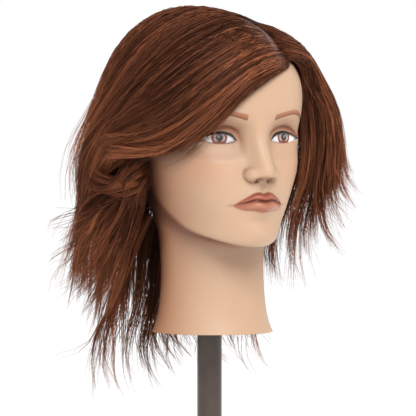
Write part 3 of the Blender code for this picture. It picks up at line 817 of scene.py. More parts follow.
    def forward(self, x: np.ndarray, z: np.ndarray, base: np.ndarray) -> np.ndarray:
        """How far forward the finished face stands.

        Args:
            x: Sideways positions.
            z: Heights.
            base: How far forward the plain form stands there.

        Returns:
            The forward reach, the sum of the features with the eyes set in.
        """
        side = np.abs(x)
        reach = base + self.nose(side, z) + self.lips(side, z)
        for swell in self.features:
            reach += swell.reach(side, z)
        inside = self.eye_opening(side, z)
        ball = self.eye_surface(side, z)
        upper = z > self.eye[1]
        near = ramp(np.where(upper, 9, 17), 0, -inside) * ramp(11, 18, side) * ramp(58, 48, side)
        lid = ball + np.where(upper, 1.3, 0.8) - 0.05 * np.maximum(-inside, 0) ** 1.6
        reach = reach + (np.maximum(lid, reach) - reach) * near + (lid - reach) * 0.35 * near
        fold = 1.3 * hill((z - curve(self.crease, side)) / 1.1)
        fold *= ramp(13, 18, side) * ramp(54, 46, side)
        reach = reach - fold
        return reach + (ball - reach) * ramp(-0.25, 0.35, inside)

    def paint(self, x: np.ndarray, z: np.ndarray, turn: np.ndarray, level: np.ndarray) -> np.ndarray:
        """The make-up with its painted shade and highlights: RGBA for each point, laid on
        layer by layer.

        Args:
            x: Sideways positions.
            z: Heights.
            turn: Angles round the head from straight ahead, without a sign.
            level: Section levels up the form.

        Returns:
            Linear colours with their coverage, shape (n, 4).
        """
        side = np.abs(x)
        color = np.zeros((len(x), 3)) + np.array(self.make_up.bare)
        cover = np.zeros(len(x))

        def lay(tone: Color, amount: np.ndarray) -> None:
            """Lays a tone over what is there.

            Args:
                tone: The colour.
                amount: Its coverage from 0 to 1.
            """
            nonlocal color, cover
            share = amount / np.maximum(amount + cover * (1 - amount), 1e-6)
            laid = np.array(tone) * np.array(self.make_up.strength)
            color = color + (laid - color) * share[:, None]
            cover = amount + cover * (1 - amount)

        # Painted shade down the sides of the face and neck, where the light falls off.
        lay(self.make_up.painted_side_shade, 0.6 * ramp(0.6, 1.7, turn) * ramp(12.5, 10.5, level))
        # Painted shadow under the chin and jawline: a band that is sharp above its level and soft
        # below it.
        below = level - curve(self.jaw_shadow_level, turn)
        under = np.where(below > 0, hill(below / 0.4), hill(below / 2.0))
        lay(self.make_up.painted_jaw_shadow, 0.84 * under)
        lay(self.make_up.blush, 0.35 * hill((side - 47) / 17, (z - 143) / 15))
        crease = curve(self.crease, side)
        ends = ramp(12.5, 17, side) * ramp(60, 47, side)
        above = z - crease
        lay(self.make_up.socket, 0.55 * ends * ramp(9, 0, above) * ramp(-6, 0, above))
        lay(self.make_up.lid, 0.6 * ends * ramp(0.6, -0.8, above) * ramp(165, 172, z))
        lay(self.make_up.crease, 0.8 * ends * hill((above + 0.2) / 1.9))
        lay(self.make_up.inner, 0.4 * ramp(11, 15, side) * ramp(24, 15, side) * hill((z - 172) / 9))
        self.paint_brow(side, z, lay)
        self.paint_eye(side, z, lay)
        self.paint_lips(side, z, lay)
        # Painted shade under the nose round the nostrils.
        lay(self.make_up.nostril, 0.6 * hill((side - 6.0) / 4.2, (z - 135.4) / 1.7))
        # Painted shade along the crease round the outer side and foot of the nose's wing.
        wing_edge = np.hypot(*self.wing_offsets(side, z)) - 1.04
        outer_side = ramp(11, 14, side + 0.5 * (139 - z))
        lay(self.make_up.wing, 0.45 * hill(wing_edge / 0.09) * outer_side)
        return np.column_stack([color, cover])

    def paint_brow(self, side: np.ndarray, z: np.ndarray, lay: Lay) -> None:
        """The airbrushed brows, darker along their lower edge.

        Args:
            side: Distances from the middle.
            z: Heights.
            lay: Lays a tone over what is there.
        """
        low, high = curve(self.brow_low, side), curve(self.brow_high, side)
        inside = ramp(12.8, 14.2, side) * ramp(59, 55, side)
        band = inside * ramp(-0.5, 0.7, z - low) * ramp(-0.5, 0.9, high - z)
        lay(self.make_up.brow, 0.9 * band)
        lay(self.make_up.brow_edge, 0.8 * inside * ramp(-0.4, 0.3, z - low) * ramp(2.3, 0.6, z - low))

    def paint_eye(self, side: np.ndarray, z: np.ndarray, lay: Lay) -> None:
        """White, iris, pupil, the highlights and the liner along the upper lid.

        Args:
            side: Distances from the middle.
            z: Heights.
            lay: Lays a tone over what is there.
        """
        inside = self.eye_opening(side, z)
        opening = ramp(-0.25, 0.3, inside)
        lay(self.make_up.rim, 0.7 * ramp(-1.6, -0.5, inside) * ramp(170, 166, z))
        lay(self.make_up.white, opening)
        aside, above = side - self.iris[0], z - self.iris[1]
        radius = np.hypot(aside, above)
        lay(self.make_up.iris, opening * ramp(7.2, 6.6, radius))
        # Painted highlights: pale crescents at each side of the pupil.
        highlight_ring = ramp(5.3, 4.7, radius) * ramp(2.8, 3.3, radius) * ramp(-4.0, -2.0, above)
        lay(self.make_up.iris_highlight, 0.5 * opening * highlight_ring * ramp(0.6, 1.8, np.abs(aside)))
        lay(self.make_up.pupil, opening * ramp(3.3, 2.85, radius))
        glint = np.hypot(side - 32.8, z - 171.0)
        lay(self.make_up.glint, 0.8 * opening * ramp(1.7, 0.7, glint))
        top = curve(self.liner_top, side)
        lid = np.maximum(curve(self.upper_lid, np.minimum(side, 48.5)), 0)
        low = lid - 0.4 * ramp(47, 51, side)
        band = ramp(-0.3, 0.3, top - z) * ramp(-0.3, 0.25, z - low)
        lay(self.make_up.liner, band * ramp(16.6, 17.6, side) * ramp(51.2, 50.0, side))

    def paint_lips(self, side: np.ndarray, z: np.ndarray, lay: Lay) -> None:
        """Rose-brown lips, the upper darker, with painted shade along the line between
        them and a painted highlight on the lower lip.

        Args:
            side: Distances from the middle.
            z: Heights.
            lay: Lays a tone over what is there.
        """
        upper, line, lower = self.lip_lines(side)
        width = ramp(self.mouth_half + 0.4, self.mouth_half - 0.8, side)
        lay(self.make_up.upper_lip, width * ramp(-0.6, 0.5, upper - z) * ramp(-0.2, 0.2, z - line))
        lay(self.make_up.lower_lip, width * ramp(-1.4, 1.2, z - lower) * ramp(-0.2, 0.2, line - z))
        # Painted highlight on the lower lip.
        lay(self.make_up.painted_lip_highlight, 0.4 * hill((side - 9) / 9, (z - line + 4.5) / 2.0))
        # Painted shade along the line between the lips.
        seam = ramp(self.mouth_half + 7, self.mouth_half - 1, side)
        lay(self.make_up.seam, 0.55 * seam * hill((z - line) / 0.7))

    def gloss(self, x: np.ndarray, z: np.ndarray) -> np.ndarray:
        """Roughness for each point: matt vinyl, satin lips and glossier eyes.

        Args:
            x: Sideways positions.
            z: Heights.

        Returns:
            The roughness.
        """
        side = np.abs(x)
        upper, _, lower = self.lip_lines(side)
        lips = ramp(self.mouth_half, self.mouth_half - 3, side)
        lips *= ramp(0, 1, upper - z) * ramp(0, 1, z - lower)
        eyes = ramp(0, 0.5, self.eye_opening(side, z))
        return MATT - 0.2 * lips - 0.25 * eyes


@dataclass
class HeadSkin:
    """The hollow vinyl moulding: face, ears, scalp and neck, with a wall.

    columns and rows are those of the outer surface.  hollow holds the inner surface's
    height and its reach to the front, back and side, from the rim up.
    """

    form: HeadForm
    face: Face
    columns: int = 292
    rows: int = 312
    hollow: tuple[tuple[float, ...], ...] = (
        (0, 48.2, 48.2, 48.2),
        (6, 45.8, 45.8, 45.8),
        (22, 42.5, 42.5, 42.5),
        (60, 40.5, 42, 40.5),
        (92, 48, 52, 44),
        (130, 68, 72, 54),
        (168, 71, 84, 60),
        (205, 74, 84, 63),
        (232, 68, 70, 55),
        (250, 50, 50, 40),
    )

    def bearings(self) -> np.ndarray:
        """The columns' angles round the head, crowded together over the face."""
        return spaced(-math.pi, math.pi, self.columns + 1, [(-1.1, 1.1, 5.0)])[:-1]

    def outside(self) -> tuple[np.ndarray, np.ndarray, np.ndarray]:
        """The outer surface as a grid, with its paint and roughness.

        Returns:
            Points of shape (rows, columns, 3), RGBA paint and roughness for each.
        """
        angles = self.bearings()
        crowding = [(5.5, 8.0, 1.5), (8.0, 12.2, 5.0)]
        levels = spaced(0, self.form.top_level - CROWN_GAP, self.rows, crowding)
        level, angle = np.meshgrid(levels, angles, indexing="ij")
        plain = self.form.points(angle.ravel(), level.ravel())
        x, y, z = plain.T
        front = ramp(18, 45, -y) * ramp(74, 80, z)
        ahead = self.face.forward(x, z, -y)
        lowered = 1.8 * hill(x / 11, (z - 141.5) / 5.5) * front
        made = plain.copy()
        made[:, 1] += (-ahead - y) * front
        made[:, 2] -= lowered
        made = self.with_ears(made)
        paint = self.face.paint(x, z, np.abs(angle.ravel()), level.ravel())
        gloss = MATT + (self.face.gloss(x, z) - MATT) * front
        return made.reshape(self.rows, self.columns, 3), paint, gloss

    def with_ears(self, points: np.ndarray) -> np.ndarray:
        """Raises an ear at each side: a rim round a hollow, with a lobe below.

        u and v run from the ear's middle, back and up, and reach 1 at its edge.  The ear
        flares towards its back, less a hollow in its middle and a groove inside its rim.

        Args:
            points: The head's surface.

        Returns:
            The surface with its ears.
        """
        x, y, z = points.T
        u = (y - 9 + 0.18 * (z - 152)) / 12.5
        v = (z - 153) / 25
        radius = np.hypot(u, v)
        flare = ramp(1.08, 0.8, radius) * (6.5 + 4.5 * u)
        hollow = 4.0 * hill((radius - 0.1) / 0.42) * ramp(-0.75, -0.2, v)
        groove = 1.6 * hill((radius - 0.68) / 0.13) * ramp(-0.5, 0.0, v)
        ear = (flare - hollow - groove) * ramp(1.12, 1.0, radius)
        made = points.copy()
        made[:, 0] += np.sign(x) * np.maximum(ear, 0)
        return made

    def inside(self) -> np.ndarray:
        """The hollow's wall as a grid, from the rim up to the crown.

        Returns:
            Points of shape (rows, columns, 3).
        """
        angles = self.bearings()
        last = len(self.hollow) - 1
        rows = spline(np.arange(last + 1.0), np.array(self.hollow, float), np.linspace(0, last, 15))
        z, front, back, side = (rows[:, k : k + 1] for k in range(4))
        s, c = np.sin(angles)[None], np.cos(angles)[None]
        depth = np.where(c > 0, front, back)
        return np.stack([side * s, -depth * c, z + 0 * s], -1)

    def build(self) -> bpy.types.Object:
        """Builds the moulding and paints it.

        Returns:
            The closed shell, riding with the head.
        """
        outer, paint, gloss = self.outside()
        inner = self.inside()
        columns, last = self.columns, self.rows * self.columns
        points = np.concatenate([outer.reshape(-1, 3), inner.reshape(-1, 3)]) * MM + HEAD_ORIGIN
        faces = grid_quads(self.rows, columns, True).tolist()
        faces += grid_quads(len(inner), columns, True, last)[:, ::-1].tolist()
        around = np.arange(columns)
        after = (around + 1) % columns
        faces += np.stack([last + around, last + after, after, around], 1).tolist()
        faces.append((around + (self.rows - 1) * columns).tolist())
        faces.append((around[::-1] + last + (len(inner) - 1) * columns).tolist())
        skin = add_mesh("vinyl_head", points, faces, VinylSkin().build())
        bare = len(points) - len(paint)
        add_color(skin, "paint", np.concatenate([paint, np.zeros((bare, 4))]))
        rough = np.concatenate([gloss, np.full(bare, 0.6)])
        layer = skin.data.attributes.new("gloss", "FLOAT", "POINT")
        layer.data.foreach_set("value", rough.astype(np.float32))
        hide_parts("head_skin")
        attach(skin, "head")
        LOG.info("vinyl head: %d faces", len(faces))
        return skin


# Hair -----------------------------------------------------------------------------------
class Section(Enum):
    """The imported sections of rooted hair."""

    CROWN = "hair_crown_sweep"
    LEFT_TOP = "hair_left_top"
    FRINGE = "hair_fringe"
    RIGHT_SIDE = "hair_right_side"
    LEFT_SIDE = "hair_left_side"
    BACK = "hair_back"
    NAPE = "hair_nape"


@dataclass(frozen=True)
class Sheet:
    """One sweep of hair: rails run from root to tip, and strands fill between them.

    depth is the share of the thickness between scalp and outline that it takes up, free
    the shares of the length over which it leaves the outline for its own rails.  clumps
    is how many tufts it gathers into and clumping how tightly, and trim how uneven its
    ends are.  wave and spread are in millimetres, light is how far its strands get
    towards the light tone, root is the share of its thickness that it starts with, and
    fade is how much darker it gets past its middle.
    """

    rails: tuple[Rail, ...]
    strands: int
    depth: tuple[float, float] = (0.1, 1.0)
    free: tuple[float, float] = (0.5, 0.85)
    clumps: int = 70
    clumping: float = 0.75
    trim: float = 0.3
    wave: float = 2.2
    spread: float = 5.0
    # light also stands in for painted highlights, most on the sheets at the lit front and top
    light: float = 0.35
    root: float = 0.12
    fade: float = 0.0


Piece = tuple[str, Section, tuple[Sheet, ...]]


class Tress:
    """Turns sheets into one piece of closed, tapered strands."""

    STEPS = 13  # points along a strand
    FINE = 49  # points along its path before it is cut
    ROOT_WIDTH = 0.26  # half the width of a strand, in millimetres
    TIP_WIDTH = 0.06
    CORNERS = ((-1.0, -0.45), (1.0, -0.45), (0.0, 0.8))  # sideways and outward, in half-widths
    MOST_SIDEWAYS = 119.0
    SKIN_GAP = 1.2  # least distance off the scalp
    STRAY_SHARE = 0.07
    STRAY_SWING = 5.0
    CALM_SWING = 0.8

    def __init__(self, scalp: HeadForm, outline: HeadForm, seed: int) -> None:
        """Keeps the forms that the hair lies between and starts its own random numbers.

        Args:
            scalp: The head under the hair.
            outline: The dressed hair's outline.
            seed: Seed of the random numbers.
        """
        self.scalp = scalp
        self.outline = outline
        self.random = np.random.default_rng(seed)

    @staticmethod
    def held(offset: np.ndarray, most: float, soft: float = 8.0) -> np.ndarray:
        """Keeps offsets within a limit, slowing down over the last soft millimetres."""
        past = np.maximum(np.abs(offset) - (most - soft), 0)
        return np.sign(offset) * (np.abs(offset) - past + soft * np.tanh(past / soft))

    def paths(self, sheet: Sheet, across: np.ndarray) -> np.ndarray:
        """Points along the sheet at each share across it: splines both ways.

        Args:
            sheet: The sheet.
            across: Share from the first rail to the last, one for each strand.

        Returns:
            Points of shape (strands, FINE, 3).
        """
        rails = np.array(sheet.rails, float)
        count, length = rails.shape[:2]
        knots = np.linspace(0, 1, count)
        own = spline(knots, rails.reshape(count, -1), across).reshape(len(across), length, 3)
        weights = spline(np.linspace(0, 1, length), np.eye(length), np.linspace(0, 1, self.FINE))
        return np.einsum("tk,nkd->ntd", weights, own)

    def laid(self, path: np.ndarray, depth: np.ndarray, t: np.ndarray, sheet: Sheet) -> np.ndarray:
        """Lays paths between the scalp and the outline, then lets their ends go free.

        Args:
            path: Points of shape (strands, FINE, 3).
            depth: Share of the thickness at each point.
            t: Share of the length at each step.
            sheet: The sheet.

        Returns:
            The paths, all of them outside the scalp.
        """
        stand, ray = self.scalp.clearance(path)
        over, _ = self.outline.clearance(path)
        thickness = np.maximum(stand - over, 4.0)
        rise = sheet.root + (1 - sheet.root) * ramp(0.0, 0.2, t)[None]
        wanted = self.SKIN_GAP + (thickness - self.SKIN_GAP) * depth * rise
        bound = path + ray * (wanted - stand)[..., None]
        loose = path + ray * ((depth - 0.5) * sheet.spread)[..., None]
        share = ramp(sheet.free[0], sheet.free[1], t)[None, :, None]
        mixed = bound + (loose - bound) * share
        stand, ray = self.scalp.clearance(mixed)
        return mixed + ray * np.maximum(self.SKIN_GAP + 1.5 * depth - stand, 0)[..., None]

    def spines(self, sheet: Sheet) -> tuple[np.ndarray, np.ndarray, np.ndarray]:
        """The strands' centre lines with their outward rays and tones.

        A strand follows the sheet at its own share across it, and is drawn towards the
        middle of its tuft more and more up to its tip.  Its tuft's wave and drift, a small
        wave of its own and a stray bend are added to it, and it is cut at its trim.

        Args:
            sheet: The sheet.

        Returns:
            Points and rays of shape (strands, STEPS, 3), and each strand's tone, lightness and fade.
        """
        n, rng = sheet.strands, self.random
        t = np.linspace(0, 1, self.FINE)
        across = (np.arange(n) + rng.random(n)) / n
        depth = rng.random(n) ** 0.8
        tuft_across = (np.arange(sheet.clumps) + rng.random(sheet.clumps)) / sheet.clumps
        tuft_depth = rng.random(sheet.clumps)
        apart = (across[:, None] - tuft_across) ** 2 * sheet.clumps**2
        apart += (depth[:, None] - tuft_depth) ** 2 * 4
        tuft = np.argmin(apart, 1)
        pull = sheet.clumping * ramp(0.05, 1.0, t) * rng.uniform(0.55, 1.0, n)[:, None]
        own, shared = self.paths(sheet, across), self.paths(sheet, tuft_across)[tuft]
        path = own + (shared - own) * pull[..., None]
        layer = depth[:, None] + (tuft_depth[tuft] - depth)[:, None] * pull
        low, high = sheet.depth
        path = self.laid(path, low + (high - low) * layer, t, sheet)
        along = np.gradient(path, axis=1)
        along /= np.linalg.norm(along, axis=-1, keepdims=True) + 1e-9
        _, ray = self.scalp.clearance(path)
        side = np.cross(along, ray)
        side /= np.linalg.norm(side, axis=-1, keepdims=True) + 1e-9
        phase = rng.uniform(0, 2 * math.pi, sheet.clumps)[tuft] + rng.normal(0, 0.5, n)
        turns = rng.uniform(0.6, 1.5, sheet.clumps)[tuft]
        swing = np.sin(phase[:, None] + 2 * math.pi * turns[:, None] * t) * ramp(0, 0.7, t)
        fine_swing = np.sin(rng.uniform(0, 6.3, n)[:, None] + rng.uniform(5, 11, n)[:, None] * t)
        stray = rng.normal(0, 1, n)
        stray *= np.where(rng.random(n) < self.STRAY_SHARE, self.STRAY_SWING, self.CALM_SWING)
        aside = (rng.normal(0, 1, sheet.clumps) * 0.9 * sheet.spread)[tuft]
        drift = aside[:, None] * ramp(0.35, 1.0, t)
        away = (rng.normal(0.1, 0.5, sheet.clumps) * sheet.spread)[tuft]
        lift = away[:, None] * ramp(0.45, 1.0, t)
        sideways = sheet.wave * swing + fine_swing + stray[:, None] * t**2 + drift
        outward = np.abs(stray)[:, None] * 0.6 * t**2 + lift
        path = path + side * sideways[..., None] + ray * outward[..., None]
        path[..., 0] = self.held(path[..., 0], self.MOST_SIDEWAYS)
        stop = 1 - sheet.trim * (0.6 * rng.random(sheet.clumps)[tuft] + 0.4 * rng.random(n))
        start = 0.03 * rng.random(n)
        at = start[:, None] + np.linspace(0, 1, self.STEPS)[None] * (stop - start)[:, None]
        at *= self.FINE - 1
        i = np.clip(at.astype(int), 0, self.FINE - 2)
        part = (at - i)[..., None]
        rows = np.arange(n)[:, None]
        points = path[rows, i] * (1 - part) + path[rows, i + 1] * part
        rays = ray[rows, i]
        tuft_tone = rng.random(sheet.clumps)[tuft]
        # Painted shade: strands deeper in the hair are darker, on top of their random tone.
        tone = np.clip(tuft_tone**1.3 + 0.4 * rng.random(n) - 0.06, 0, 1) * (0.25 + 0.75 * depth)
        # Strands lightened at random, which also stands in for painted highlights.
        glow = sheet.light * rng.random(n) ** 1.5 * (0.15 + 0.85 * tuft_tone**2)
        return points, rays, np.stack([tone, glow, np.full(n, sheet.fade)], 1)

    def tubes(
        self, points: np.ndarray, rays: np.ndarray, tone: np.ndarray
    ) -> tuple[np.ndarray, np.ndarray, np.ndarray]:
        """Three-sided tubes round centre lines: a flat back and a ridge facing out.

        Args:
            points: Centre lines, shape (strands, steps, 3).
            rays: Outward unit rays at the points.
            tone: Tone, lightness and fade of each strand.

        Returns:
            Vertices, one tube's quads, and an RGBA shade for each vertex.
        """
        n, steps = points.shape[:2]
        along = np.gradient(points, axis=1)
        along /= np.linalg.norm(along, axis=-1, keepdims=True) + 1e-9
        side = np.cross(along, rays)
        side /= np.linalg.norm(side, axis=-1, keepdims=True) + 1e-9
        up = np.cross(side, along)
        t = np.linspace(0, 1, steps)
        width = self.TIP_WIDTH + (self.ROOT_WIDTH - self.TIP_WIDTH) * (1 - t**3)
        width *= 0.25 + 0.75 * ramp(0, 0.08, t)
        width = (self.random.uniform(0.8, 1.25, n)[:, None] * width)[..., None]
        corners = [points + width * (a * side + b * up) for a, b in self.CORNERS]
        vertices = np.stack(corners, 2).reshape(-1, 3)
        # Painted back light: strands turn warmer and lighter towards their tips.
        warm = 0.6 * ramp(0.55, 1.0, t)[None]
        kept = 1 - tone[:, 2:] * ramp(0.2, 0.6, t)
        red = np.clip(tone[:, :1] + warm, 0, 1) * kept
        green = np.clip(tone[:, 1:2] + warm * (0.35 + tone[:, :1]), 0, 1) * kept
        shade = np.stack([red, green, 0 * red, 0 * red + 1], -1)
        return vertices, grid_quads(steps, 3, True), np.repeat(shade.reshape(-1, 4), 3, 0)

    def build(
        self, name: str, sheets: tuple[Sheet, ...], section: Section, finish: bpy.types.Material
    ) -> bpy.types.Object:
        """Builds one piece of hair from its sheets.

        Args:
            name: The piece's name.
            sheets: The sheets in it.
            section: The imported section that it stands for.
            finish: The hair's material.

        Returns:
            The piece, riding with the head.
        """
        sets = [self.tubes(*self.spines(sheet)) for sheet in sheets]
        points = np.concatenate([vertices for vertices, _, _ in sets]) * MM + HEAD_ORIGIN
        tones = np.concatenate([shade for _, _, shade in sets])
        size = self.STEPS * 3
        first = np.arange(len(points) // size) * size
        quads = (first[:, None, None] + sets[0][1][None]).reshape(-1, 4)
        root = first[:, None] + np.array([2, 1, 0])
        tip = first[:, None] + np.array([0, 1, 2]) + size - 3
        piece = add_mesh(name, points, quads.tolist() + root.tolist() + tip.tolist(), finish)
        add_color(piece, "tone", tones)
        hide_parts(section.value)
        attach(piece, "head")
        LOG.info("%s: %d strands", name, len(first))
        return piece


# Rails of the hair, each from its root to its tip.  PART holds the roots along the parting.
PART = (
    (35, -72, 234), (36, -61, 246), (35, -47, 255), (33, -28, 263), (28, -4, 270), (20, 22, 271),
    (10, 46, 265),
)
SWEEP = (
    (
        PART[0], (6, -88, 226), (-20, -86, 211), (-38, -78, 192), (-54, -61, 172), (-67, -40, 160),
        (-81, -8, 160), (-93, 20, 152), (-98, 38, 130),
    ),
    (
        PART[1], (4, -80, 243), (-24, -82, 229), (-44, -72, 209), (-62, -54, 187), (-77, -28, 172),
        (-89, 4, 166), (-99, 28, 150), (-101, 42, 118),
    ),
    (
        PART[2], (2, -62, 256), (-28, -66, 244), (-52, -56, 225), (-70, -38, 204), (-85, -12, 187),
        (-96, 16, 170), (-102, 38, 144), (-98, 50, 112),
    ),
    (
        PART[3], (-2, -40, 268), (-32, -42, 258), (-58, -34, 240), (-79, -18, 217), (-93, 8, 194),
        (-102, 34, 172), (-102, 52, 142), (-94, 58, 108),
    ),
    (
        PART[4], (-6, -12, 276), (-36, -12, 268), (-65, -4, 248), (-86, 14, 222), (-96, 34, 196),
        (-101, 54, 168), (-96, 68, 136), (-88, 72, 102),
    ),
    (
        PART[5], (-12, 20, 275), (-38, 24, 264), (-63, 34, 245), (-81, 48, 220), (-88, 62, 192),
        (-90, 76, 164), (-84, 84, 130), (-76, 86, 94),
    ),
    (
        PART[6], (-8, 52, 267), (-28, 60, 254), (-46, 70, 235), (-60, 80, 208), (-67, 90, 180),
        (-68, 98, 150), (-64, 102, 116), (-60, 100, 78),
    ),
)
WISPS = (
    (
        (35, -74, 232), (4, -92, 222), (-22, -92, 206), (-36, -84, 190), (-46, -72, 176),
        (-56, -60, 164), (-68, -42, 152),
    ),
    (
        (34, -74, 236), (6, -92, 226), (-20, -92, 212), (-38, -84, 194), (-54, -66, 174),
        (-68, -44, 158), (-82, -14, 152),
    ),
)
LEFT = (
    (
        (31, -72, 236), (48, -60, 235), (61, -47, 217), (69, -37, 192), (73, -31, 164),
        (73, -26, 134), (67, -18, 102), (62, -12, 72), (66, -16, 44),
    ),
    (
        (28, -68, 241), (56, -58, 239), (75, -52, 219), (88, -50, 200), (96, -48, 182),
        (100, -44, 164), (101, -43, 146), (105, -47, 130), (117, -56, 116),
    ),
    (
        (24, -48, 256), (60, -38, 249), (82, -34, 224), (95, -34, 200), (102, -33, 176),
        (103, -29, 152), (99, -26, 126), (100, -28, 106), (112, -38, 84),
    ),
    (
        (20, -28, 265), (57, -20, 256), (83, -12, 227), (100, -8, 198), (104, -5, 168),
        (102, 0, 136), (94, 2, 100), (92, 0, 66), (100, -8, 34),
    ),
    (
        (16, 0, 271), (53, 6, 263), (80, 16, 228), (96, 22, 196), (101, 27, 164), (99, 32, 130),
        (92, 34, 94), (86, 30, 60), (86, 24, 28),
    ),
    (
        (12, 30, 270), (42, 42, 265), (69, 54, 233), (82, 64, 196), (88, 72, 162), (87, 76, 126),
        (80, 75, 88), (74, 68, 52), (72, 60, 20),
    ),
)
LEFT_FLICK = (
    (
        (84, -42, 216), (94, -46, 192), (101, -48, 170), (106, -49, 150), (115, -52, 134),
    ),
    (
        (86, -36, 208), (99, -41, 180), (102, -42, 154), (106, -42, 130), (117, -47, 110),
    ),
    (
        (88, -28, 202), (101, -33, 170), (101, -32, 140), (100, -30, 112), (108, -36, 84),
    ),
    (
        (90, -18, 196), (102, -21, 160), (99, -18, 126), (96, -16, 92), (105, -24, 60),
    ),
    (
        (90, -6, 190), (101, -8, 152), (95, -5, 114), (90, -3, 76), (97, -10, 36),
    ),
    (
        (70, -24, 150), (68, -14, 122), (60, -4, 94), (58, 0, 62), (66, -8, 34),
    ),
)
RIGHT_BAND = (
    (
        (-70, -12, 150), (-77, 0, 139), (-86, 15, 128), (-96, 34, 116), (-104, 48, 102),
        (-112, 62, 88), (-119, 74, 80),
    ),
    (
        (-69, -10, 146), (-74, 2, 130), (-80, 14, 114), (-87, 30, 98), (-95, 44, 80),
        (-102, 56, 66), (-110, 68, 54),
    ),
    (
        (-68, -8, 140), (-69, 2, 122), (-73, 14, 104), (-79, 28, 84), (-86, 40, 62), (-92, 52, 44),
        (-99, 63, 28),
    ),
    (
        (-66, -4, 134), (-65, 4, 114), (-67, 16, 94), (-71, 30, 70), (-76, 40, 46), (-82, 49, 24),
        (-90, 57, 2),
    ),
)
RIGHT_CURL = (
    (
        (-99, 30, 156), (-100, 28, 146), (-97, 18, 138), (-91, 4, 136), (-84, -6, 140),
        (-76, -14, 148),
    ),
    (
        (-101, 36, 152), (-103, 32, 140), (-99, 20, 131), (-92, 5, 130), (-84, -5, 135),
        (-75, -14, 144),
    ),
    (
        (-102, 42, 148), (-105, 36, 133), (-100, 22, 124), (-92, 6, 124), (-83, -4, 130),
        (-74, -13, 140),
    ),
)
RIGHT_FALL = (
    (
        (-60, -4, 236), (-86, 12, 204), (-99, 32, 174), (-104, 46, 146), (-99, 54, 116),
        (-99, 60, 88), (-103, 66, 68), (-110, 73, 54),
    ),
    (
        (-56, 20, 240), (-82, 36, 206), (-95, 54, 174), (-99, 64, 142), (-95, 68, 108),
        (-93, 72, 76), (-94, 76, 50), (-98, 79, 30),
    ),
    (
        (-46, 40, 242), (-71, 60, 206), (-83, 74, 172), (-87, 82, 138), (-83, 82, 102),
        (-79, 83, 68), (-78, 84, 38), (-81, 85, 10),
    ),
    (
        (-32, 56, 242), (-52, 80, 206), (-62, 92, 170), (-66, 97, 134), (-63, 94, 96),
        (-60, 91, 58), (-58, 88, 24), (-60, 87, -10),
    ),
)
BACK = tuple(
    (
        (0.1 * x + 4, 24 - 0.3 * d, 274), (0.4 * x, 60 - d, 258), (0.8 * x, 92 - d, 216),
        (x, 106 - d, 168), (1.05 * x, 109 - d, 130), (1.02 * x, 104 - d, 92),
        (0.95 * x, 96 - d, 54), (0.95 * x, 92 - d, 18), (1.05 * x, 92 - d, -12),
    )
    for x, d in ((-80, 24), (-46, 5), (0, 0), (46, 5), (80, 24))
)
LEFT_BACK = (
    (
        (26, 54, 252), (62, 72, 208), (76, 82, 168), (80, 86, 130), (80, 84, 92), (78, 80, 54),
        (76, 74, 20),
    ),
    (
        (30, 44, 256), (74, 50, 214), (90, 56, 172), (94, 60, 132), (92, 60, 92), (88, 56, 56),
        (86, 50, 26),
    ),
)
NAPE = (
    (
        (-54, 20, 98), (-60, 32, 70), (-70, 46, 38), (-82, 56, 6), (-94, 60, -24), (-110, 56, -44),
    ),
    (
        (-52, 40, 96), (-58, 50, 64), (-62, 58, 28), (-70, 62, -4), (-70, 58, -34), (-58, 52, -60),
    ),
    (
        (-30, 54, 96), (-32, 60, 62), (-32, 64, 26), (-38, 64, -6), (-36, 58, -32), (-24, 50, -54),
    ),
    (
        (0, 60, 96), (2, 64, 62), (-2, 66, 26), (-6, 64, -4), (0, 60, -24), (10, 54, -38),
    ),
    (
        (28, 54, 96), (30, 60, 62), (32, 62, 28), (34, 62, 0), (40, 58, -18), (50, 52, -30),
    ),
    (
        (50, 40, 96), (54, 50, 64), (62, 54, 34), (70, 54, 8), (78, 50, -10), (90, 44, -22),
    ),
)


